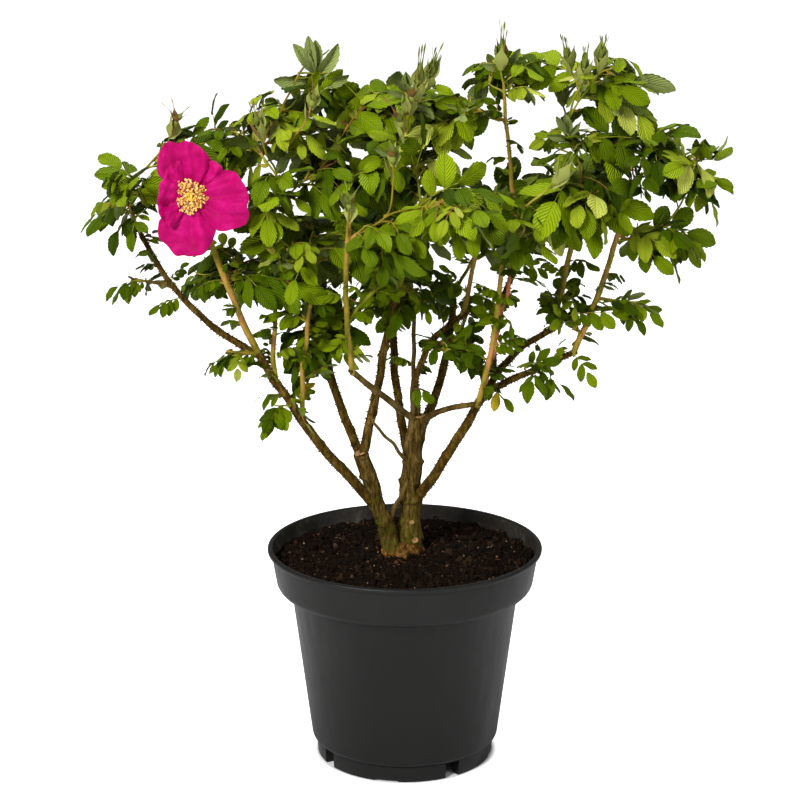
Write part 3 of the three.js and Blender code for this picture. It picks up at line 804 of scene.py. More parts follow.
# Dark, middle and light patches of each kind of stem.
STEM_TONES = {
    "brown_cane": ((0.03, 0.018, 0.002), (0.07, 0.042, 0.006), (0.13, 0.085, 0.02)),
    "amber_cane": ((0.11, 0.1, 0.005), (0.24, 0.175, 0.016), (0.38, 0.18, 0.055)),
    "green_cane": ((0.1, 0.125, 0.004), (0.2, 0.22, 0.012), (0.34, 0.27, 0.04)),
    "rosy_cane": ((0.16, 0.075, 0.015), (0.34, 0.1, 0.04), (0.4, 0.21, 0.06)),
}
stem_materials = []
for tone, (dark, middle, light) in STEM_TONES.items():
    stem = new_material(tone, middle, 0.5, Specular_IOR_Level=0.1)
    patches = place_group(stem, GRAIN, Scale=75.0, Stretch=2.5, Roughness=0.65)
    streak = place_group(stem, GRAIN, Scale=320.0, Stretch=8.0, Roughness=0.6)
    add_tints(stem, patches.outputs["Value"], [(0.36, dark), (0.5, middle), (0.64, light)])
    add_bump(stem, streak.outputs["Fine"], 0.25 * MM, 0.8)
    stem_materials.append(stem)
BROWN, AMBER, GREEN, ROSY = range(4)

# %% Bark with ridges, nodes and knots
def stem_relief(line, radii, sides, seed, rough=1.0):
    """Height of the bark over a smooth tube, for each ring and side."""
    rng = np.random.default_rng(seed)
    along = distances(line)[:, None]
    angle = (np.arange(sides) / sides * math.tau)[None]
    relief = np.zeros((len(line), sides))
    ridge, ripple = 0.035, 0.016
    for folds in (3, 5, 8):
        drift = np.sin(along / (rng.uniform(14, 34) * MM) + rng.uniform(0, 6)) * 1.1
        relief += np.sin(folds * angle + drift + rng.uniform(0, 6)) * ridge
    for _ in range(5):
        pitch = rng.uniform(3.5, 11) * MM
        relief += np.sin(along / pitch + rng.integers(1, 6) * angle + rng.uniform(0, 6)) * ripple
    place = rng.uniform(6, 18) * MM
    while place < along[-1, 0]:
        facing = rng.uniform(0, math.tau)
        wide = rng.uniform(1.6, 3.2) * MM
        bulge = np.exp(-(((along - place) / wide) ** 2))
        relief += bulge * (0.06 + 0.16 * np.maximum(0, np.cos(angle - facing)) ** 3)
        place += rng.uniform(14, 30) * MM
    return relief * radii[:, None] * rough


def stretched(values, count):
    """The same values spread evenly over another number of points."""
    return np.interp(np.linspace(0, 1, count), np.linspace(0, 1, len(values)), values)


CANE_SKIN = 1.12  # a cane with its skin and leaf bases is a little stouter than its solid


def bark_line(name, step=1.2):
    """Fine route of a limb, which wavers a little, and its radius; step is in millimetres."""
    path, radii = ROUTES[name]
    radii = radii * (CANE_SKIN if SLOT_OF[name] == "cane" else 1.0)
    line = through(path, max(12, int(distances(path)[-1] / (step * MM))))
    width = stretched(radii, len(line))
    fade = (np.sin(np.linspace(0, 1, len(line)) * math.pi) ** 0.5)[:, None]
    return line + sway(line, 40, 42 * MM, 4) * fade * width[:, None] * 0.16, width


def make_limb(index, name):
    """The bark of one limb; a trunk's foot is drawn down into the compost."""
    line, width = bark_line(name)
    trunk = name in TRUNKS
    woody = SLOT_OF[name] == "bark"
    if trunk:
        low = line[line[:, 2].argmin()]
        sunk = low + (line[0] - line[6]) * np.array([[0.9], [0.45]])
        line, width = np.vstack([sunk, line]), np.concatenate([[width[0]] * 2, width])
        swell = np.exp(-np.maximum(0, line[:, 2] - SOIL_TOP) / (9 * MM))
        width = width * (1 - 0.1 * swell)
    sides = 30 if trunk else 20 if woody else 14
    pile = Pile()
    relief = stem_relief(line, width, sides, 60 + index, 1.25 if trunk else 1.0 if woody else 0.45)
    add_tube(pile, line, width, sides, relief=relief)
    finish = trunk_bark if trunk else bark if woody else stem_materials[BROWN if "twig" in name else AMBER]
    return pile.build(name + "_bark", [finish], SLOT_OF[name], [name])


for index, name in enumerate(LIMBS):
    make_limb(index, name)

# %% [markdown]
# The two trunks rise from one knobby crown. It is a low dome pushed in and out by waves, with
# pale cut faces where older stems were taken off, and a flat pale disc closes each sawn trunk.

# %% The knobby crown and the sawn faces
def make_crown(rings=26, sectors=64):
    """A dome that is longer along the line between the feet of the trunks."""
    half_long, half_wide, tall = 19 * MM, 14 * MM, 12 * MM
    feet = [ROUTES[name][0][0] for name in TRUNKS]
    middle = np.mean(feet, axis=0)
    spread = feet[1] - feet[0]
    lean = math.atan2(spread[1], spread[0])
    share = np.linspace(0, 1, rings)[:, None]
    angle = (np.arange(sectors) / sectors * math.tau)[None]
    reach = np.sin(share * math.pi / 2)
    x = half_long * reach * np.cos(angle)
    y = half_wide * reach * np.sin(angle)
    z = tall * np.cos(share * math.pi / 2) ** 0.8 * np.ones_like(angle)
    points = np.stack([
        middle[0] + x * math.cos(lean) - y * math.sin(lean),
        middle[1] + x * math.sin(lean) + y * math.cos(lean),
        SOIL_TOP - 2.5 * MM + z,
    ], axis=-1).reshape(-1, 3)
    push = points - [middle[0], middle[1], SOIL_TOP - 8 * MM]
    push /= np.linalg.norm(push, axis=1)[:, None]
    knobs = waves(points, 91, 11 * MM) * 1.7 * MM + waves(points, 92, 4.5 * MM) * 0.7 * MM
    points += push * knobs[:, None]
    pile = Pile()
    pile.add(points, ring_faces(rings, sectors))
    pile.build("stem_crown", [crown_bark], "bark")


def add_disc(pile, centre, normal, radius, seed, sectors=18):
    """A sawn face: a shallow, uneven disc with a raised rim."""
    rng = np.random.default_rng(seed)
    side = square_to([0.3, 0.2, 1.0] if abs(normal[2]) < 0.9 else [1.0, 0.2, 0.0], normal)
    top = np.cross(normal, side)
    points = [np.asarray(centre, float)]
    for ring, lift in ((0.55, 0.0), (0.95, 0.05), (1.05, -0.12)):
        for k in range(sectors):
            a = k / sectors * math.tau
            r = radius * ring * (1 + 0.08 * math.sin(2 * a + seed) + rng.uniform(-0.03, 0.03))
            points.append(centre + (side * math.cos(a) + top * math.sin(a)) * r + normal * lift * radius)
    k = np.arange(sectors)
    pile.add(points[:1 + sectors], np.stack([np.zeros_like(k), 1 + k, 1 + (k + 1) % sectors], axis=1))
    pile.add(points[1:], ring_faces(3, sectors)[:, [0, 3, 2, 1]])


# Scars of old stems: X and Y, height above the compost, radius, in millimetres.
SCARS = [
    (19, -12, 15, 2.4), (6, -12, 28, 1.9), (13, -14, 6, 2.2), (-2, -16, 5, 2.6), (22, 14, 12, 2.5),
    (0, 26, 20, 2.2)]


def skin_tree(name):
    """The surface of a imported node, for finding its nearest place to a point."""
    mesh = frame["nodes"][name].data
    return BVHTree.FromPolygons([v.co for v in mesh.vertices], [tuple(f.vertices) for f in mesh.polygons])


def make_sawn_faces():
    """A disc on each sawn trunk, and smaller ones on the bark where the scars are."""
    pile = Pile()
    for seed, name in enumerate(TRUNKS):
        path, radii = ROUTES[name]
        way = unit(path[-1] - path[-2])
        add_disc(pile, path[-1] + way * radii[-1] * 0.34, way, radii[-1] * 0.86, seed)
    skin = skin_tree("right_trunk")
    for seed, (x, y, up, radius) in enumerate(SCARS):
        spot, normal, _, _ = skin.find_nearest(Vector((x * MM, y * MM, SOIL_TOP + up * MM)))
        facing = np.array(normal)
        add_disc(pile, np.array(spot) + facing * MM, facing, radius * MM, 10 + seed)
    pile.build("sawn_faces", [cut_wood], "bark")


make_crown()
make_sawn_faces()

# %% [markdown]
# ## Growing the crown
# From here the plant is grown by a rule. Each foliage mass is fed by one cane, which starts at
# the nearest stem that could reach it and climbs into the mass. Side shoots leave that cane for
# points spread evenly through the mass. Leaves sit on the shoots in turn round the stem, and
# each leaf is only as long as the masses allow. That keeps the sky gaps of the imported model
# open, and the outline true. All chance comes from seeded generators, so every run is the same.

# %% Read the foliage masses
def read_mass(name):
    """Middle, half sides and skin area of a mass, with a tree for measuring distances to it."""
    points = node_points(name)
    low, high = points.min(axis=0), points.max(axis=0)
    half = (high - low) / 2
    skin = (half[0] * half[1] + half[1] * half[2] + half[0] * half[2]) * math.tau * 2 / 3
    return {"name": name, "centre": (low + high) / 2, "half": half, "skin": skin, "tree": skin_tree(name)}


CROWN = [read_mass(name) for name in MASSES]
MASS_OF = {mass["name"]: mass for mass in CROWN}
CROWN_LOW = np.min([m["centre"] - m["half"] for m in CROWN], axis=0)
CROWN_HIGH = np.max([m["centre"] + m["half"] for m in CROWN], axis=0)
CROWN_HEART = CROWN_LOW + (CROWN_HIGH - CROWN_LOW) * [0.0, 0.5, 0.25]
CROWN_HEART[0] = 0.0  # leaves turn away from the axis of the pot
BLOOM_LOW, BLOOM_HIGH = (np.array(corner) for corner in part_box("bloom"))
print("crown in mm, from", np.round(CROWN_LOW / MM), "to", np.round(CROWN_HIGH / MM))


def place_on(name, shares):
    """A point given by its place in a mass: 0 is the middle, and 1 or -1 an end of its box."""
    mass = MASS_OF["leaves_" + name]
    return mass["centre"] + mass["half"] * np.array(shares)


def is_inside(tree, point):
    """True where the nearest skin of a mass looks away from the point."""
    spot, normal, _, _ = tree.find_nearest(Vector(point))
    return (Vector(point) - spot).dot(normal) < 0


def outside_by(point, reach=0.02):
    """How far a point is outside all the masses, up to reach; below zero inside one."""
    best = reach
    for mass in CROWN:
        if np.any(np.abs(point - mass["centre"]) > mass["half"] + reach):
            continue
        spot, normal, _, gap = mass["tree"].find_nearest(Vector(point))
        best = min(best, -gap if (Vector(point) - spot).dot(normal) < 0 else gap)
    return best


def before_bloom(point):
    """True where a leaf would hide the bloom or cut through it."""
    inside = np.all(point[[0, 2]] > BLOOM_LOW[[0, 2]]) and np.all(point[[0, 2]] < BLOOM_HIGH[[0, 2]])
    return inside and point[1] < BLOOM_HIGH[1] + 9 * MM


# %% Stems that can bear shoots, and a shoot
SHOOTS = []
FEEDERS = []


def offer_feeders(path, radii, first, tone):
    """Places along a stem from which later shoots may leave."""
    for i in range(int(first * len(path)), len(path)):
        ahead = unit(path[min(i + 1, len(path) - 1)] - path[max(i - 1, 0)])
        FEEDERS.append((path[i], ahead, radii[i], tone))


for name in LIMBS:
    path, width = bark_line(name, 6.0)
    offer_feeders(path, width, 0.92 if name in TRUNKS else 0.4, BROWN if SLOT_OF[name] == "bark" else AMBER)


def best_feeder(goal, level):
    """The stem place that reaches a goal with the least length and turning."""
    def cost(feeder):
        gap = goal - feeder[0]
        far = np.linalg.norm(gap)
        turn = 1 - np.dot(gap / far, feeder[1])
        return far * (1 + 0.5 * turn) + 1.5 * max(0.0, feeder[0][2] - level)
    return min(FEEDERS, key=cost)


def grow_shoot(start, leave, goal, arrive, r0, r1, tone, mass):
    """A tapering shoot from one place to another; it belongs to a mass, or to none."""
    far = np.linalg.norm(goal - start)
    count = max(5, int(far / (5 * MM)))
    path = arch(start, unit(leave) * far * 0.75, goal, unit(arrive) * far * 0.7, count)
    loose = np.sin(np.linspace(0, math.pi, count))[:, None]
    path = path + sway(path, len(SHOOTS), 30 * MM, 3) * loose * 0.8 * MM
    radii = np.linspace(r0, r1, len(path))
    SHOOTS.append({"path": path, "radii": radii, "tone": tone, "mass": mass, "main": r0 > 1.3 * MM})
    return path, radii


# %% One cane into every mass, and side shoots inside it
def feed_mass(mass, rng):
    """Grow the cane that feeds a mass, and side shoots to places spread through it on a spiral."""
    centre, half = mass["centre"], mass["half"]
    start, ahead, radius, tone = best_feeder(centre, centre[2] - 0.2 * half[2])
    goal = centre + half * rng.uniform(-0.2, 0.2, 3) + UP * half[2] * 0.4
    rise = unit(goal - start) + UP * 0.5
    thick = max(min(radius * 0.85, 1.9 * MM), 0.9 * MM)
    if tone == BROWN and rng.random() < 0.7:
        tone = AMBER
    path, radii = grow_shoot(start, ahead, goal, rise, thick, 0.9 * MM, tone, mass)
    offer_feeders(path, radii, 0.45, GREEN if rng.random() < 0.45 else AMBER)
    skin_per_shoot = 2400 * MM * MM
    count = int(np.clip(round(mass["skin"] / skin_per_shoot), 0, 7))
    for k in range(count):
        lift = 1 - 1.55 * (k + 0.5) / count
        turn = k * SPIRAL_TURN + rng.uniform(0, 0.8)
        flat = math.sqrt(max(0.0, 1 - lift * lift))
        spot = centre + half * 0.6 * np.array([flat * math.cos(turn), flat * math.sin(turn), lift])
        lower = path[path[:, 2] < spot[2] + 4 * MM]
        lower = lower if len(lower) > 1 else path[:2]
        i = int(np.linalg.norm(lower - spot, axis=1).argmin() * 0.85)
        ahead = unit(path[min(i + 1, len(path) - 1)] - path[i])
        side = unit(spot - path[i])
        side_tone = rng.choice([GREEN, AMBER, ROSY], p=[0.6, 0.3, 0.1])
        grow_shoot(path[i], ahead + side, spot, side + UP * 0.9, 0.95 * MM, 0.55 * MM, side_tone, mass)


# Canes too thin to be solids of their own: limb, share of its length, the mass and the place
# in it where they end, and radii in millimetres.
SLIM_CANES = [
    ("left_trunk", 0.28, "low_left", (2.1, 0.0, -3.05), 2.4, 2.1, BROWN),
    ("left_bough", 0.84, "centre_left", (-0.5, 0.2, -0.8), 2.4, 1.7, AMBER),
    ("left_bough", 0.6, "centre_left", (0.3, -0.3, -0.2), 2.4, 1.5, AMBER),
    ("mid_bough", 0.97, "mid_right", (-0.6, 1.0, -0.7), 2.3, 1.8, AMBER),
    ("right_trunk", 0.62, "low_left", (1.2, -0.7, -1.6), 1.8, 1.1, BROWN),
    ("right_trunk", 0.3, "centre_low", (0.3, -0.3, -0.3), 2.8, 1.8, BROWN),
    ("back_fork_bough", 0.96, "peak_mid", (-0.1, -0.4, -0.5), 2.3, 1.5, AMBER),
    ("left_inner_bough", 0.75, "centre", (0.8, 0.6, 0.5), 2.3, 1.6, GREEN),
    ("right_bough", 0.9, "mid_right", (0.2, 0.2, -0.6), 2.3, 1.7, ROSY),
    ("centre_cane", 0.35, "centre_low", (-0.2, -1.0, 0.9), 1.9, 1.4, GREEN),
]
for limb, share, mass_name, shares, r0, r1, tone in SLIM_CANES:
    line, _ = bark_line(limb, 4.0)
    i = int(share * (len(line) - 2))
    tip = place_on(mass_name, shares)
    leave = unit(line[i + 1] - line[i]) * 0.6 + unit(tip - line[i])
    rise = unit(tip - line[i]) + UP * 0.5
    path, radii = grow_shoot(line[i], leave, tip, rise, r0 * MM, r1 * MM, tone, None)
    offer_feeders(path, radii, 0.6, tone)

shoot_rng = np.random.default_rng(5)
for mass in sorted(CROWN, key=lambda m: m["centre"][2]):
    feed_mass(mass, shoot_rng)

# %% A stalk for every bud
# Buds and spent flowers: mass, place in it, whether the petals have fallen, length of the sepals.
BUDS = [
    ("top_centre", (0.2, -1.0, 0.6), False, 24), ("top_centre", (0.5, -0.7, 0.8), False, 21),
    ("top_centre", (0.0, -1.2, 0.1), True, 18), ("centre_upper", (0.0, -0.7, 1.0), True, 22),
    ("centre_upper", (-0.2, -1.0, 0.1), True, 20), ("peak_right", (-0.5, -0.9, 0.4), False, 21),
    ("peak_right", (-0.2, -0.8, 0.7), False, 20), ("peak_right", (-0.7, -0.5, 0.6), False, 18),
    ("peak_mid", (-0.2, -0.6, 0.5), False, 23), ("left_shoulder", (-1.6, -0.7, 0.5), True, 16),
    ("centre", (-0.8, -0.2, 0.9), True, 22), ("upper_left", (-0.5, -1.0, -0.2), False, 18),
    ("upper_left", (0.7, -1.0, 0.5), True, 16), ("upper_centre_left", (-0.1, 0.6, 0.1), False, 18),
    ("back_top", (1.2, 0.3, 0.4), True, 17), ("peak_right", (-0.7, 1.2, -0.8), False, 17),
    ("right_mid", (-0.7, -1.1, 0.9), False, 20),
]
BUD_WAYS = []
for mass_name, shares, spent, long in BUDS:
    place = place_on(mass_name, shares)
    start, ahead, radius, _ = best_feeder(place - UP * 22 * MM, place[2] - 30 * MM)
    rise = UP + unit(place - start) * 0.5
    grow_shoot(start, ahead, place, rise, min(radius, 1.1 * MM), 0.8 * MM, AMBER if spent else GREEN, None)
    BUD_WAYS.append(unit(SHOOTS[-1]["path"][-1] - SHOOTS[-1]["path"][-2]))
print("shoots", len(SHOOTS))


def shoot_line(shoot):
    """Fine route and radius of a shoot."""
    count = len(shoot["path"]) * 2
    return through(shoot["path"], count), stretched(shoot["radii"], count)


def make_shoots():
    """All shoots, canes and bud stalks as one piece."""
    pile = Pile()
    for shoot in SHOOTS:
        line, width = shoot_line(shoot)
        relief = stem_relief(line, width, 6, len(pile.points), 0.6)
        add_tube(pile, line, width, 6, shoot["tone"], relief)
    return pile.build("shoots", stem_materials, "cane")


make_shoots()

# %% [markdown]
# ## Prickles and bristles
# The old wood of this rose is covered in straight, slender prickles of uneven length, and the
# young canes in fine bristles. Each is a three-sided spike that leans back a little. They are
# too small to matter one by one, but without them the stems look like wire.

# %% Set the prickles
prickle_tan = new_material("prickle_tan", (0.17, 0.105, 0.02), 0.6)
prickle_dark = new_material("prickle_dark", (0.05, 0.03, 0.006), 0.65)
roughen((prickle_tan, prickle_dark), 0.1 * MM, Scale=2500.0)
TAN, DARK = range(2)


def add_prickles(pile, line, width, per_mm, long, seed, kind):
    """Prickles all round a stem, so many for each millimetre of it, none longer than long."""
    rng = np.random.default_rng(seed)
    steps = np.linalg.norm(np.diff(line, axis=0), axis=1)
    total = steps.sum()
    ahead, side, top = carried_frame(line)
    for _ in range(int(total / MM * per_mm)):
        i = int(rng.integers(1, len(line) - 1))
        angle = rng.uniform(0, math.tau)
        out = side[i] * math.cos(angle) + top[i] * math.sin(angle)
        foot = line[i] + ahead[i] * rng.uniform(-0.5, 0.5) * steps[i - 1] + out * width[i] * 0.92
        reach = long * rng.uniform(0.35, 1.0) ** 1.4
        thick = reach * 0.13 + 0.13 * MM
        spin = np.cross(out, ahead[i])
        ring = [foot + (ahead[i] * math.cos(a) * 1.3 + spin * math.sin(a)) * thick for a in (0, 2.1, 4.2)]
        tip = foot + (out - ahead[i] * rng.uniform(-0.1, 0.45)) * reach
        pile.add([*ring, tip], [[0, 1, 3], [1, 2, 3], [2, 0, 3]], kind=kind)


def make_prickles():
    """Prickles on the limbs and the thicker shoots; the trunks have lost most of theirs."""
    pile = Pile()
    for index, name in enumerate(LIMBS):
        line, width = bark_line(name, 3.0)
        woody = SLOT_OF[name] == "bark"
        dense = 0.4 if name in TRUNKS else 4.0 if woody else 1.6
        long = (2.9 if woody else 2.2) * MM
        add_prickles(pile, line, width, dense, long, 300 + index, DARK if woody else TAN)
    for index, shoot in enumerate(s for s in SHOOTS if s["main"]):
        line, width = shoot_line(shoot)
        add_prickles(pile, line, width, 1.2, 1.9 * MM, 400 + index, TAN)
    return pile.build("prickles", [prickle_tan, prickle_dark], "bark", smooth=False)


make_prickles()

# %% [markdown]
# ## Leaves
# A leaf has five to nine leaflets in pairs on a stalk, with one at the end. A leaflet is an
# oval blade with saw teeth, folded along its midrib, drooping at the tip and quilted between
# its veins. Eight such blades are made once, and three narrow ones of leaves that are still
# opening, each with its own fold and droop, and placed many times. The upper side has one of
# several plain greens, dealt out by leaf, and the pale underside is a second skin just below
# it. Quilting comes from the vein pattern as a bump.

# %% Leaf finishes
# Upper sides from the darkest green to the lightest, and last the yellow of a fading leaf.
LEAF_TONES = [
    (0.028, 0.054, 0.0008), (0.055, 0.096, 0.001), (0.09, 0.143, 0.0015), (0.136, 0.203, 0.002),
    (0.195, 0.272, 0.004), (0.285, 0.355, 0.015), (0.42, 0.46, 0.07), (0.5, 0.37, 0.02)]
UNDER_TONES = [(0.14, 0.19, 0.03), (0.23, 0.28, 0.08)]
UNDER = len(LEAF_TONES)
LIGHTEST, FADED = UNDER - 2, UNDER - 1
SHEEN = (0.8, 1.0, 0.3, 1.0)  # light that glances off a leaf takes on a little of its green


def leaf_finish(name, tone, gloss, smooth, rough):
    """A leaf skin of one plain colour, with veins as bump and as duller lines."""
    leaf = new_material(name, tone, smooth, Specular_IOR_Level=gloss, Specular_Tint=SHEEN)
    veins = place_group(leaf, VEINS, Count=9.0, Slant=0.34)
    add_bump(leaf, veins.outputs["Height"], MM)
    add_roughness(leaf, veins.outputs["Vein"], smooth, rough)
    return leaf


leaf_materials = []
for number, tone in enumerate(LEAF_TONES, 1):
    leaf_materials.append(leaf_finish(f"leaf_green_{number}", tone, 0.11, 0.34, 0.55))
for number, tone in enumerate(UNDER_TONES, 1):
    leaf_materials.append(leaf_finish(f"leaf_underside_{number}", tone, 0.03, 0.7, 0.85))

# %% Leaflet blades
def leaflet_shape(fold, droop, curl, seed, rows=14, slim=0.285):
    """A blade one unit long, from the origin along +X, its upper side towards +Z."""
    rng = np.random.default_rng(seed)
    t = np.linspace(0, 1, rows + 1)
    odd = np.arange(rows + 1) % 2 == 1
    outline = slim * np.sin(math.pi * np.clip(t, 0.01, 0.99) ** 0.92) ** 0.66
    across = np.array([-1, -0.55, 0, 0.55, 1.0])
    wide = len(across)
    edge = np.abs(across)[None] > 0.9
    mid = np.abs(np.abs(across) - 0.55)[None] < 0.1
    tooth = np.where(odd, 1.05, 0.955)[:, None]
    swell = np.sin(t * math.pi)[:, None]
    tooth_lean = np.where(edge, 0.012 * np.where(odd, 1, -1)[:, None] * swell, 0)
    x = t[:, None] + 0.075 * np.abs(across)[None] * swell + tooth_lean
    y = outline[:, None] * across[None] * np.where(edge, tooth, 1)
    quilt = np.where(odd, 0.01, -0.007)[:, None] * mid * swell
    ripple = np.sin(t * math.tau * rng.uniform(1.2, 2.2) + rng.uniform(0, 6))
    wave = 0.022 * ripple[:, None] * across[None] ** 2
    z = fold * np.abs(y) - curl * (y / slim) ** 2 * 0.12 - droop * x**2 + quilt + wave
    twist = rng.uniform(-0.25, 0.25) * t[:, None]
    y, z = y * np.cos(twist) - z * np.sin(twist), y * np.sin(twist) + z * np.cos(twist)
    places = [np.repeat(t[:, None], wide, axis=1), np.repeat(across[None], rows + 1, axis=0)]
    blade = np.stack(places, axis=-1)
    top = np.stack([x, y, z], axis=-1)
    under = top[::2, ::2] - [0, 0, 0.016]
    under[:, [0, -1], 1] *= 0.97
    points = np.vstack([top.reshape(-1, 3), under.reshape(-1, 3)])
    blades = np.vstack([blade.reshape(-1, 2), blade[::2, ::2].reshape(-1, 2)])
    over = grid_faces(rows + 1, wide)
    below = grid_faces(rows // 2 + 1, wide // 2 + 1)[:, ::-1] + (rows + 1) * wide
    return points, np.vstack([over, below]), blades, len(over)


blade_rng = np.random.default_rng(31)
LEAFLETS = [
    leaflet_shape(*blade_rng.uniform([0.1, 0.08, 0.1], [0.55, 0.42, 1.0]), 500 + k) for k in range(8)]
FOLDED = [
    leaflet_shape(*blade_rng.uniform([0.7, -0.1], [1.5, 0.25]), 0.1, 520 + k, slim=0.17) for k in range(3)]
print("triangles of one leaflet", len(LEAFLETS[0][1]) * 2)


def add_leaflet(pile, shape, origin, way, face, long, tone, under):
    """A blade from its foot along one direction, with its upper side turned towards face."""
    points, faces, blades, over = shape
    face = square_to(face, way)
    axes = np.stack([way, np.cross(face, way), face])
    kinds = np.full(len(faces), UNDER + under)
    kinds[:over] = tone
    pile.add(points @ axes * long + origin, faces, blades, kinds)


# %% A whole leaf
PAIR_GAP = 0.47  # from one pair of leaflets to the next, as a share of a leaflet's length
BARE_STALK = 0.5  # below the first pair, likewise


def add_leaf(leaves, stalks, origin, way, face, long, tone, rng, droop=0.3, young=False, most=36, fading=0.0):
    """One compound leaf: arching stalk, pairs of hanging leaflets, an end leaflet and two stipules."""
    blade = min(rng.uniform(0.72, 1.0) * most * MM, long / 2.3)
    pairs = int(np.clip((long / blade - 1 - BARE_STALK) / PAIR_GAP, 2, 4))
    bare = BARE_STALK * blade
    reach = bare + PAIR_GAP * blade * pairs
    s = np.linspace(0, 1, 8)[:, None]
    sag = -UP * droop * (1 - abs(way[2]) * 0.6)
    path = origin + way * s * reach + sag * s**2 * reach
    ahead, _, _ = carried_frame(path)
    thick = np.linspace(0.62, 0.34, 8) * MM * min(1.0, blade / (24 * MM))
    add_tube(stalks, path, thick, 4, rng.choice([GREEN, AMBER, ROSY], p=[0.72, 0.2, 0.08]))
    spread = rng.uniform(0.85, 1.15)
    hang = -rng.uniform(0.05, 0.75)
    for pair in range(pairs + 1):
        place = (bare + PAIR_GAP * blade * pair) / reach
        spot = point_at(place, s[:, 0], path)
        along = unit(point_at(place, s[:, 0], ahead))
        plane = square_to(face, along)
        out = np.cross(plane, along)
        for hand in (0,) if pair == pairs else (-1, 1):
            angle = math.radians(rng.uniform(58, 66) - 6 * pair) * spread
            lift = hang + rng.uniform(-0.12, 0.12) if not young else rng.uniform(0.1, 0.5)
            forward = along * (math.cos(angle) if hand else 1)
            toward = unit(forward + out * hand * math.sin(angle) + plane * lift * (1 if hand else 0.4))
            cup = hand * (0.9 if young else 0.6 * hang)
            tilt = plane + out * rng.uniform(-0.15, 0.15) - out * cup + along * rng.uniform(-0.15, 0.15)
            size = blade * (0.8 if pair == 0 else 1.0) * rng.uniform(0.88, 1.06)
            shapes = FOLDED if young else LEAFLETS
            shape = shapes[int(rng.integers(len(shapes)))]
            shade = FADED
            if rng.random() >= fading:
                shade = int(np.clip(tone + rng.choice([-1, 0, 0, 0, 1]), 0, LIGHTEST))
            add_leaflet(leaves, shape, spot, toward, tilt, size, shade, int(rng.random() < 0.4))
    base = square_to(face, way)
    out = np.cross(base, way)
    size = blade / 22
    for hand in (-1, 1):
        corners = [(0, 0), (3, 2.4), (10, 3.2), (7, 0.4)]
        wing = [origin + (way * along + out * hand * across) * size for along, across in corners]
        stalks.add(wing, [[0, 1, 2, 3]] if hand < 0 else [[3, 2, 1, 0]], kind=GREEN)


# Angle of each leaflet of an opening leaf, in degrees, and how far up its foot is.
FAN_LEAFLETS = [(-84, 0.0), (76, 0.02), (-42, 0.1), (36, 0.28), (-7, 0.2), (5, 0.32)]


def add_fan(leaves, stalks, origin, way, face, size, tone, rng):
    """A young leaf that is still opening: folded leaflets that stand up together like a fan."""
    plane = square_to(face, way)
    out = np.cross(plane, way)
    stalk = [origin + way * size * rise for rise in (-0.3, 0, 0.4)]
    add_tube(stalks, stalk, [1.2 * MM, 1.0 * MM, 0.5 * MM], 5, GREEN)
    for angle, rise in FAN_LEAFLETS:
        turn = math.radians(angle + rng.uniform(-6, 6))
        toward = unit(way * math.cos(turn) + out * math.sin(turn) + plane * rng.uniform(-0.2, 0.2))
        shape = FOLDED[int(rng.integers(len(FOLDED)))]
        tilt = plane + out * rng.uniform(-0.5, 0.5)
        long = size * rng.uniform(0.85, 1.1)
        add_leaflet(leaves, shape, origin + way * size * rise, toward, tilt, long, tone, 1)


# %% [markdown]
# Leaves are set out mass by mass. Every joint of a shoot offers a few places for a leaf, each
# leaning outwards along the stem. A leaf is measured against the masses along its whole length,
# so that it neither fills a gap nor hides the bloom. The next leaf always goes where the mass is
# still barest, as leaves on the plant turn towards open light. Leaves low down and at the back
# are dealt darker greens as painted shade, and upper and front ones lighter greens as painted
# light. Four piles are the sides of the crown.

# %% Where a leaf may go
def leaf_path(origin, way, droop, length, steps):
    """Points along a leaf's arching stalk, from just above its foot to the end."""
    s = np.linspace(0, 1, steps)[1:, None]
    return origin + way * s * length - UP * droop * s**2 * length


def room_along(origin, way, droop, most):
    """Length that a leaf may have before it leaves the masses or meets the bloom."""
    step = 8 * MM
    margin = 8 * MM
    ceiling = CROWN_HIGH[2] - 12 * MM
    free = 0.0
    while free < most:
        ahead = free + step
        point = origin + way * ahead - UP * droop * ahead * ahead / most
        if outside_by(point) > margin or before_bloom(point) or point[2] > ceiling:
            break
        free = ahead
    return free


def leaf_sites(shoots, rng):
    """Joints that can bear a leaf: place, direction of the stem, turn round it, share from the tip."""
    sites = []
    for shoot in shoots:
        path = shoot["path"]
        along = distances(path)
        turn = rng.uniform(0, math.tau)
        place = along[-1]
        while place > max(along[-1] - 80 * MM, 0.1 * along[-1]):
            stem = direction_at(place, along, path)
            sites.append((point_at(place, along, path), stem, turn, (along[-1] - place) / along[-1]))
            turn += SPIRAL_TURN
            place -= rng.uniform(5, 9) * MM
    return sites


def fill_points(mass, rng):
    """Points spread through a mass, about one for every cube of nine millimetres."""
    count = int(np.clip(np.prod(mass["half"]) * 4.2 / (9 * MM) ** 3, 24, 420))
    points = mass["centre"] + mass["half"] * rng.uniform(-1, 1, (count * 2, 3))
    return points[np.array([is_inside(mass["tree"], point) for point in points])]


LEFT_END, RIGHT_END = -75 * MM, 65 * MM  # of the middle piece of foliage
TO_FRONT = np.array([0.0, -0.3, 0.0])  # leaves of the front half turn a little towards the front
# Masses that end in a young, opening leaf, and the length of its leaflets in millimetres.
FANS = {"leaves_peak_left": 31, "leaves_peak_mid": 18, "leaves_right_shoulder": 16, "leaves_top_centre": 16}
# Masses of small leaves low in the crown, and the length of their largest leaflets.
SMALL_LEAVED = {
    "leaves_low_left": 21, "leaves_centre_low": 22, "leaves_centre_sprig": 21, "leaves_right_hand": 24,
    "leaves_back_centre": 28}


LARGEST_LEAFLET = 36  # elsewhere in the crown
SHORTEST_LEAF = 26


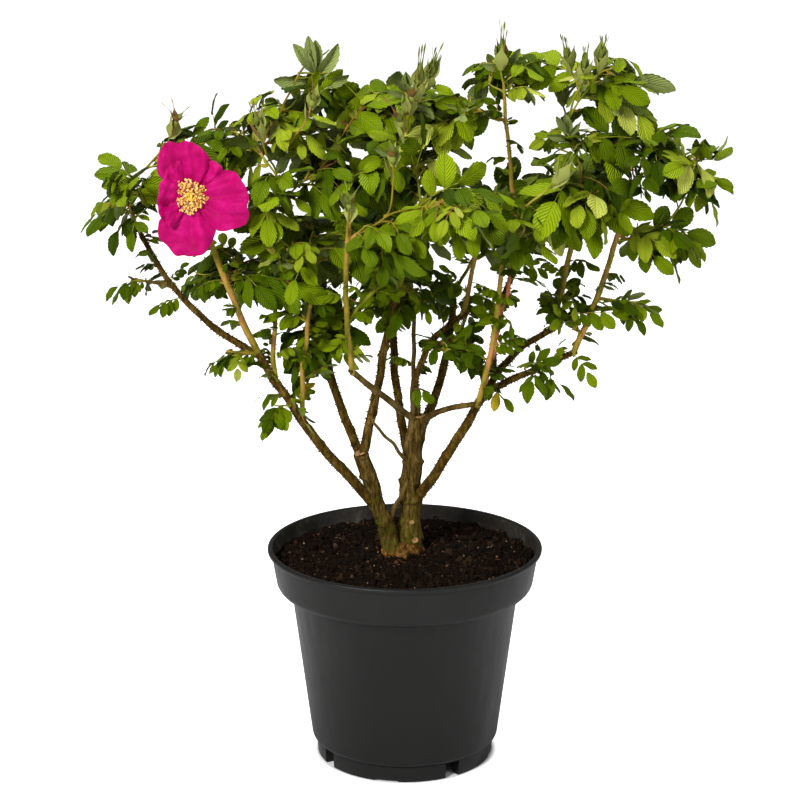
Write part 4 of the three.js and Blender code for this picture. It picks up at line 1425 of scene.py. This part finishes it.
def offer_leaves(mass, rng):
    """Every leaf that the mass could bear."""
    offers = []
    shoots = [s for s in SHOOTS if s["mass"] is mass]
    peak = "peak" in mass["name"] and mass["name"] != "leaves_peak_left"
    top = mass["centre"][2] + mass["half"][2] - FANS.get(mass["name"], 0) * 0.9 * MM
    most = SMALL_LEAVED.get(mass["name"], LARGEST_LEAFLET)
    for joint, (spot, stem, turn, back) in enumerate(leaf_sites(shoots, rng)):
        outward = unit((spot - CROWN_HEART) * [1, 1.3, 0.7])
        for k in range(4):
            angle = turn + k * math.tau / 4 + rng.uniform(-0.4, 0.4)
            side = square_to([math.cos(angle), math.sin(angle), 0.1], stem)
            way = unit(stem * rng.uniform(0.2, 0.7) + side + outward * 0.35)
            droop = rng.uniform(0.15, 0.6)
            young = peak and back < 0.06 and k == 0
            if young:
                way, droop = unit(stem + side * 0.35), 0.0
            wish = rng.uniform(1.8, 2.95) * most * MM
            room = room_along(spot, way, droop, wish)
            if room < min(SHORTEST_LEAF, most) * MM:
                continue
            if leaf_path(spot, way, droop, room, 6)[:, 2].max() > top:
                continue
            face = UP * rng.uniform(0.5, 1.1) + outward * rng.uniform(0.1, 0.7) + rng.normal(size=3) * 0.45
            if "_back_" not in mass["name"]:
                face = face + TO_FRONT
            offers.append({
                "joint": joint, "spot": spot, "way": way, "face": face, "droop": droop, "young": young,
                "long": min(room + 3 * MM, wish)})
    return offers


def side_of(point, behind):
    """The part of the crown, and so the piece, that a leaf belongs to."""
    if behind:
        return "back"
    return "left" if point[0] < LEFT_END else "right" if point[0] > RIGHT_END else "middle"


# %% Small leaves along the stems below the crown
def leafy_stems():
    """Canes and thicker shoots along their whole length, and the outer half of each bough."""
    stems = [bark_line(n, 4.0)[0] for n in LIMBS if SLOT_OF[n] == "cane" and "twig" not in n]
    for name in LIMBS:
        if SLOT_OF[name] == "bark" and name not in TRUNKS:
            line, _ = bark_line(name, 4.0)
            stems.append(line[-int(len(line) * 0.55):])
    return stems + [shoot["path"] for shoot in SHOOTS if shoot["main"]]


def set_cane_leaves(piles, stalks, rng):
    """Small leaves in turn round each stem, some of them missing; gives their number."""
    count = 0
    for line in leafy_stems():
        along = distances(line)
        place = rng.uniform(8, 22) * MM
        turn = rng.uniform(0, math.tau)
        while place < along[-1]:
            spot, stem = point_at(place, along, line), direction_at(place, along, line)
            side = square_to([math.cos(turn), math.sin(turn), 0.1], stem)
            way = unit(side + stem * rng.uniform(0.3, 0.9))
            turn += SPIRAL_TURN
            place += rng.uniform(8, 17) * MM
            if spot[2] < CROWN_LOW[2] + 10 * MM or before_bloom(spot + way * 20 * MM):
                continue
            if outside_by(spot) < -4 * MM or rng.random() < 0.12:
                continue
            leaves = piles[side_of(spot, spot[1] > 40 * MM)]
            face = UP + side * 0.4 + rng.normal(size=3) * 0.35 + TO_FRONT
            tone = int(np.clip(round(2.4 + rng.normal()), 0, LIGHTEST))
            long = rng.uniform(22, 44) * MM
            droop, most = rng.uniform(0.1, 0.6), rng.uniform(9, 19)
            add_leaf(leaves, stalks, spot, way, face, long, tone, rng, droop, most=most, fading=0.012)
            count += 1
    return count


# %% Set the leaves
def set_mass_leaves(mass, leaves, stalks, axes, rng):
    """Leaves where one mass is barest, until it has its share; gives all the stalks' points so far."""
    most = SMALL_LEAVED.get(mass["name"], LARGEST_LEAFLET)
    quota = max(3, round(mass["skin"] / (28 * most * MM * MM)))
    fill = fill_points(mass, rng)
    bare = np.ones(len(fill))
    if len(axes):
        near = np.linalg.norm(fill[:, None] - axes[None], axis=2) < 11 * MM
        bare *= 0.6 ** near.any(axis=1)
    offers = offer_leaves(mass, rng)
    reach = []
    for offer in offers:
        stalk = leaf_path(offer["spot"], offer["way"], offer["droop"], offer["long"], 8)
        reach.append(np.linalg.norm(fill[:, None] - stalk[None], axis=2).min(axis=1) < 13 * MM)
    used = {}
    spray = rng.normal() * 0.7
    for _ in range(quota):
        worth = [(bare * r).sum() * 0.55 ** used.get(o["joint"], 0) for o, r in zip(offers, reach)]
        if not worth or max(worth) < 0.35:
            break
        best = int(np.argmax(worth))
        offer = offers.pop(best)
        spot, way, droop, young = (offer[key] for key in ("spot", "way", "droop", "young"))
        bare *= np.where(reach.pop(best), 0.35, 1.0)
        used[offer["joint"]] = used.get(offer["joint"], 0) + 1
        # Painted light and shade: higher leaves and those nearer the front get lighter greens, and lower and
        # rearer ones darker. The spray and the random step are real differences of tone, and young leaves are
        # truly paler.
        height = (spot[2] - CROWN_HEART[2]) / (CROWN_HIGH[2] - CROWN_HEART[2])
        light = 2.0 + 1.6 * height - 4 * spot[1] + spray + rng.normal() * 1.2 + (1.2 if young else 0)
        tone = int(np.clip(round(light), 0, LIGHTEST - 1))
        add_leaf(leaves, stalks, spot, way, offer["face"], offer["long"], tone, rng, droop, young, most)
        axes = np.vstack([axes, leaf_path(spot, way, droop, offer["long"], 5)])
    return axes


def set_leaves():
    """All leaves of the crown: one piece for each side, and one for all the stalks."""
    rng = np.random.default_rng(77)
    piles = {side: Pile() for side in ("left", "middle", "right", "back")}
    members = {side: [] for side in piles}
    stalks = Pile()
    axes = np.zeros((0, 3))
    for mass in CROWN:
        side = side_of(mass["centre"], "_back_" in mass["name"])
        members[side].append(mass["name"])
        axes = set_mass_leaves(mass, piles[side], stalks, axes, rng)
        if mass["name"] in FANS:
            size = FANS[mass["name"]] * MM
            top = mass["centre"] + mass["half"] * [-0.1, -0.3, 1.0]
            foot = top - UP * 1.3 * size
            add_fan(piles[side], stalks, foot, unit([-0.05, -0.1, 1]), [0.1, -1, 0.2], size, UNDER + 1, rng)
    small = set_cane_leaves(piles, stalks, rng)
    for side, pile in piles.items():
        pile.build("foliage_" + side, leaf_materials, "leaf", members[side])
    stalks.build("leaf_stalks", stem_materials, "cane")
    print("leaves in the masses", len(axes) // 4, "and small ones on the stems", small)


set_leaves()

# %% [markdown]
# ## Buds, hips and spent flowers
# A bud of this rose is a round green hip topped by five long, narrow sepals, which are wrapped
# together at first and stand open once the petals fall. Some sepals of the spent flowers are
# brown, and pale bracts stand below each hip. Each bud is a small turned hip with curved blades
# round it, and all of them are joined into one piece.

# %% Make the buds
sepal_green = new_material("sepal_green", (0.12, 0.15, 0.02), 0.6)
sepal_brown = new_material("sepal_brown", (0.17, 0.09, 0.022), 0.75)
hip_green = new_material("hip_green", (0.17, 0.2, 0.03), 0.4)
bract_pale = new_material("bract_pale", (0.25, 0.27, 0.06), 0.7)
BUD_FINISHES = [sepal_green, sepal_brown, hip_green, bract_pale]
SEPAL, BROWN_SEPAL, HIP, BRACT = range(4)
roughen(BUD_FINISHES, 0.25 * MM, Scale=900.0, Stretch=2.0)


def add_hip(pile, base, way, radius, seed, rings=9, sectors=12):
    """A round hip, a little longer than wide, turned about one direction."""
    side = square_to([0.3, 1.0, 0.2], way)
    top = np.cross(way, side)
    share = np.linspace(0.04, 0.97, rings)
    ring = np.sin(share * math.pi) ** 0.6 * radius
    angle = np.arange(sectors) / sectors * math.tau
    points = (
        base + way * (share * radius * 2.7)[:, None, None]
        + ring[:, None, None] * (side * np.cos(angle)[:, None] + top * np.sin(angle)[:, None])
    ).reshape(-1, 3)
    points += way * waves(points, seed, 3 * MM)[:, None] * 0.15 * MM
    pile.add(points, ring_faces(rings, sectors), kind=HIP)


def add_sepal(pile, base, way, out, long, wide, kind, bend=0.35, leafy=0.42, belly=0.16, rows=12):
    """A narrow blade that swells near its foot, bends outwards, and may end in a leafy tip."""
    t = np.linspace(0, 1, rows)
    tip = leafy * np.exp(-((t - 0.86) / 0.11) ** 2)
    width = wide * (0.9 * np.exp(-((t - belly) / (0.14 + belly * 0.4)) ** 2) + 0.2 * (1 - t) + tip)
    middle = base + way * (t * long)[:, None] + out * (t**2 * long * bend)[:, None]
    across = np.cross(way, out)
    fold = out * (width * 0.35)[:, None]
    reach = across * width[:, None]
    points = np.stack([middle - reach, middle + fold, middle + reach], axis=1).reshape(-1, 3)
    blade = np.stack([np.repeat(t, 3), np.tile([-1.0, 0, 1.0], rows)], axis=-1)
    quads = grid_faces(rows, 3)
    pile.add(points, quads, blade, kind)
    pile.add(points - out * 0.12 * MM, quads[:, ::-1], blade, kind)


def around(way, angle):
    """The direction square to way that lies at an angle round it."""
    side = square_to([1.0, 0.1, 0.1], way)
    return side * math.cos(angle) + np.cross(way, side) * math.sin(angle)


def add_bud(pile, base, way, spent, long, rng):
    """A hip with five sepals, which stand open if the flower is spent, and bracts below it."""
    radius = rng.uniform(2.3, 3.1) * MM
    add_hip(pile, base, way, radius, int(rng.integers(999)))
    start = rng.uniform(0, 1.2)
    for k in range(5):
        out = around(way, start + k * math.tau / 5)
        lean = rng.uniform(0.2, 0.6) if spent else rng.uniform(0.0, 0.1)
        bend = rng.uniform(0.2, 0.45) if spent else rng.uniform(-0.06, 0.14)
        foot = base + way * radius * 2.3 + out * radius * 0.5
        size = long * rng.uniform(0.8, 1.2) * MM
        rise = unit(way + out * lean)
        kind = BROWN_SEPAL if rng.random() < (0.5 if spent else 0.2) else SEPAL
        leafy = rng.uniform(0.08, 0.3)
        add_sepal(pile, foot, rise, square_to(out, rise), size, 2.9 * MM, kind, bend, leafy)
    for k in range(2 if spent else 4):
        out = around(way, start + 0.6 + k * math.tau / 3.4)
        rise = unit(way + out * rng.uniform(0.08, 0.34))
        foot = base - way * rng.uniform(2, 12) * MM + out * MM
        size, wide = rng.uniform(17, 26) * MM, rng.uniform(4.4, 6.2) * MM
        kind = BROWN_SEPAL if rng.random() < 0.08 else BRACT
        bend = rng.uniform(-0.02, 0.22)
        add_sepal(pile, foot, rise, square_to(out, rise), size, wide, kind, bend, 0.0, 0.42)


def make_buds():
    """A bud or a spent flower on the end of each stalk that was grown for one."""
    rng = np.random.default_rng(61)
    pile = Pile()
    for (mass_name, shares, spent, long), way in zip(BUDS, BUD_WAYS):
        add_bud(pile, place_on(mass_name, shares), way, spent, long, rng)
    return pile.build("buds_and_hips", BUD_FINISHES, "leaf")


make_buds()

# %% [markdown]
# ## The open bloom
# Five broad petals, each a thin sheet that is narrow at the heart and wrinkled all over, since
# they were packed in the bud. The sheet is a square grid pressed into a rounded outline, pushed
# into folds that fan out from the heart, with a second skin behind it. More than two hundred
# stamens ring a dome of pistils, and their golden heads make the loose yellow tuft.

# %% Petal finishes
petal_pink = new_material("petal_pink", (0.4, 0.002, 0.09), 0.6, Specular_IOR_Level=0.06)
petal_grain = place_group(petal_pink, GRAIN, Scale=45.0, Roughness=0.8)
add_tints(petal_pink, petal_grain.outputs["Value"], [
    (0.3, (0.26, 0.0005, 0.06)), (0.5, (0.35, 0.0009, 0.094)), (0.7, (0.45, 0.006, 0.145))])
add_bump(petal_pink, petal_grain.outputs["Fine"], 0.35 * MM, 0.6)
petal_back = new_material("petal_back", (0.5, 0.02, 0.15), 0.7)
back_grain = place_group(petal_back, GRAIN, Scale=150.0)
add_bump(petal_back, back_grain.outputs["Fine"], 0.3 * MM, 0.6)
stamen_gold = new_material("stamen_gold", (0.8, 0.5, 0.14), 0.7)
stamen_deep = new_material("stamen_deep", (0.62, 0.25, 0.05), 0.75)
filament_cream = new_material("filament_cream", (0.8, 0.5, 0.2), 0.6)
pistil_lemon = new_material("pistil_lemon", (0.78, 0.5, 0.07), 0.6)
TUFT_FINISHES = [stamen_gold, stamen_deep, filament_cream, pistil_lemon]
GOLD, DEEP, FILAMENT, PISTIL = range(4)
roughen(TUFT_FINISHES, 0.15 * MM, Scale=1800.0)

# %% Petals
HEART = BLOOM_LOW + (BLOOM_HIGH - BLOOM_LOW) * [0.36, 0.78, 0.49]
FACING = unit([-0.1, -1.0, 0.06])
BLOOM_RIGHT = square_to([1.0, 0.0, 0.0], FACING)
BLOOM_UP = np.cross(FACING, BLOOM_RIGHT)
# Direction from the right in degrees; length, width, how far forward the petal lies and how far
# its tip is lifted, in millimetres; and the seed of its folds.
PETALS = [
    (62, 34, 36, -1.6, 4, 3), (103, 44, 44, 0.6, 8, 5), (172, 24, 52, 1.2, 14, 9), (-99, 48, 46, -0.4, 7, 11),
    (-8, 48, 48, 1.6, 9, 14)]


def on_bloom(right, up, forward):
    """Points from bloom coordinates in millimetres."""
    sides = np.multiply.outer(right, BLOOM_RIGHT) + np.multiply.outer(up, BLOOM_UP)
    return HEART + (sides + np.multiply.outer(forward, FACING)) * MM


def add_petal(pile, direction, long, wide, rise, lift, seed, steps=34):
    """A square grid pressed into a round outline, narrowed to a claw and pushed into folds."""
    s, t = np.meshgrid(np.linspace(-1, 1, steps), np.linspace(-1, 1, steps), indexing="ij")
    along = s * np.sqrt(1 - t**2 / 2)
    across = t * np.sqrt(1 - s**2 / 2)
    flat = np.stack([along, across, np.zeros_like(s)], axis=-1).reshape(-1, 3)
    reach = (along + 1) / 2
    claw = 0.34 + 0.66 * np.clip(reach / 0.5, 0, 1) ** 0.8
    frill = 1 + 0.035 * waves(flat, seed + 1, 0.9).reshape(s.shape) * reach**2
    x = long * reach * frill - long * 0.05 * np.exp(-((across / 0.16) ** 2)) * reach**4
    y = wide / 2 * across * claw * frill
    fan = np.arctan2(y, x + 6)
    broad, fine = 3.4 * np.sin(fan * 6 + seed) * reach, 1.7 * np.sin(fan * 15 + seed * 2)
    folds = (broad + fine) * np.clip(reach * 1.6, 0, 1)
    crush = (waves(flat, seed + 2, 0.75) * 1.7 + waves(flat, seed + 3, 0.3) * 0.75).reshape(s.shape)
    rim = np.maximum(np.hypot(along, across) - 0.72, 0)
    rolled_back = rim**2 * 42 * (0.6 + 0.5 * np.sin(across * 3 + seed))
    forward = rise + lift * reach**1.6 + folds + crush * reach - rolled_back
    turn = math.radians(direction)
    right = x * math.cos(turn) - y * math.sin(turn)
    up = x * math.sin(turn) + y * math.cos(turn)
    quads = grid_faces(steps, steps)
    blade = np.stack([reach, across], axis=-1).reshape(-1, 2)
    points = on_bloom(right, up, forward).reshape(-1, 3)
    pile.add(points, quads, blade, 0)
    pile.add(points - FACING * 0.3 * MM, quads[:, ::-1], blade, 1)


def make_petals():
    """The five petals as one piece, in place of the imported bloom."""
    pile = Pile()
    for row in PETALS:
        add_petal(pile, *row)
    return pile.build("bloom_petals", [petal_pink, petal_back], "petal", ["bloom"])


make_petals()

# %% Stamens, pistils, sepals and stalk of the bloom
def make_stamens(count=230, pistils=46, tuft=12.5, ring=2.8):
    """Stamens that arch out from a ring in the heart, and a dome of pistils inside it; sizes in mm."""
    rng = np.random.default_rng(71)
    pile = Pile()
    for _ in range(count):
        angle = rng.uniform(0, math.tau)
        spread = tuft * math.sqrt(rng.uniform(0.04, 1.0)) * (1 + 0.12 * math.sin(3 * angle + 1))
        forward = 8.2 - spread * 0.28 + rng.uniform(-2.4, 1.6)
        tip = on_bloom(spread * math.cos(angle), spread * math.sin(angle) * 1.08, forward)
        foot = on_bloom(ring * math.cos(angle), ring * math.sin(angle), 1.0)
        path = arch(foot, FACING * 6 * MM, tip, (tip - foot) * 0.9, 5)
        add_tube(pile, path, 0.19 * MM, 3, kind=FILAMENT)
        shape = LUMP * rng.uniform(0.8, 1.2, (len(LUMP), 1)) * [1.25, 0.8, 0.75]
        turn = random_turn(rng)
        pile.add((shape * 0.98 * MM) @ turn + tip, LUMP_FACES, kind=DEEP if rng.random() < 0.3 else GOLD)
    for _ in range(pistils):
        angle, spread = rng.uniform(0, math.tau), 3.6 * math.sqrt(rng.uniform(0, 1))
        place = on_bloom(spread * math.cos(angle), spread * math.sin(angle), 6.2 - spread**2 * 0.12)
        shape = LUMP * rng.uniform(0.8, 1.2, (len(LUMP), 1))
        pile.add(shape * 0.85 * MM + place, LUMP_FACES, kind=PISTIL)
    return pile.build("bloom_stamens", TUFT_FINISHES, "petal")


def make_calyx():
    """Behind the petals: the hip, five sepals laid out flat, and the end of the stalk."""
    rng = np.random.default_rng(72)
    pile = Pile()
    behind = on_bloom(0.0, -1.0, -9.0)
    add_hip(pile, behind, FACING, 4.2 * MM, 5)
    for k in range(5):
        angle = 0.5 + k * math.tau / 5
        out = BLOOM_RIGHT * math.cos(angle) + BLOOM_UP * math.sin(angle)
        foot = on_bloom(0, 0, -2.2) + out * 2.5 * MM
        add_sepal(pile, foot, out, -FACING, rng.uniform(23, 29) * MM, 2.4 * MM, SEPAL)
    cane = ROUTES["bloom_cane"][0]
    path = arch(cane[-1], unit(cane[-1] - cane[-2]) * 18 * MM, behind + FACING * MM, FACING * 16 * MM, 14)
    stalk_kind = len(BUD_FINISHES) - 1
    add_tube(pile, path, np.linspace(1.9, 1.3, 14) * MM, 10, kind=stalk_kind)
    return pile.build("bloom_calyx", [*BUD_FINISHES[:stalk_kind], stem_materials[GREEN]], "leaf")


make_stamens()
make_calyx()

# %% [markdown]
# ## Light, floor and camera
# The plant stands on a plain white floor in even studio light. One large softbox is at the
# front left, a weaker one fills from the right, and one above lifts the tops of the leaves.
# The camera looks down a little, as a person does at a pot plant a couple of steps away.

# %% Floor and light
FLOOR = 60.0  # metres from the pot to each side of the floor
SHADOW_EDGE = 4 * MM  # how softly the shadow at the foot gives way to white
SKY_LIGHT = 0.32


def make_floor():
    """A floor that looks white beyond the foot of the pot, and keeps the shadow under it."""
    mesh = bpy.data.meshes.new("floor")
    corners = [(-FLOOR, -FLOOR, 0), (FLOOR, -FLOOR, 0), (FLOOR, FLOOR, 0), (-FLOOR, FLOOR, 0)]
    mesh.from_pydata(corners, [], [(0, 1, 2, 3)])
    floor = bpy.data.objects.new("floor", mesh)
    bpy.context.scene.collection.objects.link(floor)
    paper = new_material("white_paper", (0.8, 0.8, 0.8), 0.9, Emission_Color=(1, 1, 1, 1))
    tree = paper.node_tree
    seen = tree.nodes.new("ShaderNodeLightPath").outputs["Is Camera Ray"]
    place = tree.nodes.new("ShaderNodeTexCoord")
    reach = tree.nodes.new("ShaderNodeVectorMath")
    reach.operation = "LENGTH"
    link(tree, place.outputs["Object"], reach.inputs[0])
    outside = math_node(tree, "SUBTRACT", reach.outputs["Value"], FOOT)
    beyond_pot = math_node(tree, "DIVIDE", outside, SHADOW_EDGE, clamp=True)
    glow = math_node(tree, "MULTIPLY", math_node(tree, "MULTIPLY", seen, beyond_pot), 0.8)
    link(tree, glow, tree.nodes["Principled BSDF"].inputs["Emission Strength"])
    add_bump(paper, place_group(paper, GRAIN, Scale=60.0).outputs["Fine"], 0.1 * MM, 0.1)
    mesh.materials.append(paper)
    floor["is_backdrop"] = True


def make_softbox(name, place, target, size, watts):
    """A round lamp at one place that looks at another."""
    data = bpy.data.lights.new(name, "AREA")
    data.shape = "DISK"
    data.size = size
    data.energy = watts
    lamp = bpy.data.objects.new(name, data)
    lamp.location = place
    lamp.rotation_euler = (Vector(target) - Vector(place)).to_track_quat("-Z", "Y").to_euler()
    bpy.context.scene.collection.objects.link(lamp)


make_floor()
make_softbox("key_light", (-1.3, -2.0, 1.8), (0, 0, 0.38), 0.75, 92)
make_softbox("fill_light", (2.0, -1.5, 1.0), (0, 0, 0.35), 1.4, 18)
make_softbox("top_light", (0.2, 0.3, 2.4), (0, 0, 0.4), 1.0, 44)


def make_studio_walls():
    """The walls look white to the camera, but give only soft light."""
    world = bpy.data.worlds.new("studio")
    world.use_nodes = True
    tree = world.node_tree
    background = tree.nodes["Background"]
    background.inputs["Color"].default_value = (1, 1, 1, 1)
    seen = tree.nodes.new("ShaderNodeLightPath").outputs["Is Camera Ray"]
    strength = math_node(tree, "ADD", math_node(tree, "MULTIPLY", seen, 1 - SKY_LIGHT), SKY_LIGHT)
    link(tree, strength, background.inputs["Strength"])
    bpy.context.scene.world = world


make_studio_walls()
bpy.context.scene.view_settings.view_transform = "Standard"

# %% Camera
LENS, SENSOR = 101.6, 36  # millimetres
STAND = (0, -1.8, 0.785)  # metres
LOOK_DOWN = 14.84  # degrees
camera_data = bpy.data.cameras.new("camera")
camera_data.lens = LENS
camera_data.sensor_width = SENSOR
camera_data.shift_x = -0.006
camera = bpy.data.objects.new("camera", camera_data)
camera.location = STAND
camera.rotation_euler = (math.radians(90 - LOOK_DOWN), 0, 0)
bpy.context.scene.collection.objects.link(camera)
bpy.context.scene.camera = camera

# %% Compare the sizes, and finish
SEEN_LOW, SEEN_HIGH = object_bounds()
beyond = [high - low for high, low in zip([*CAD_LOW, *SEEN_HIGH], [*SEEN_LOW, *CAD_HIGH])]
print("beyond the packed box, in mm:", [round(gap / MM, 1) for gap in beyond])
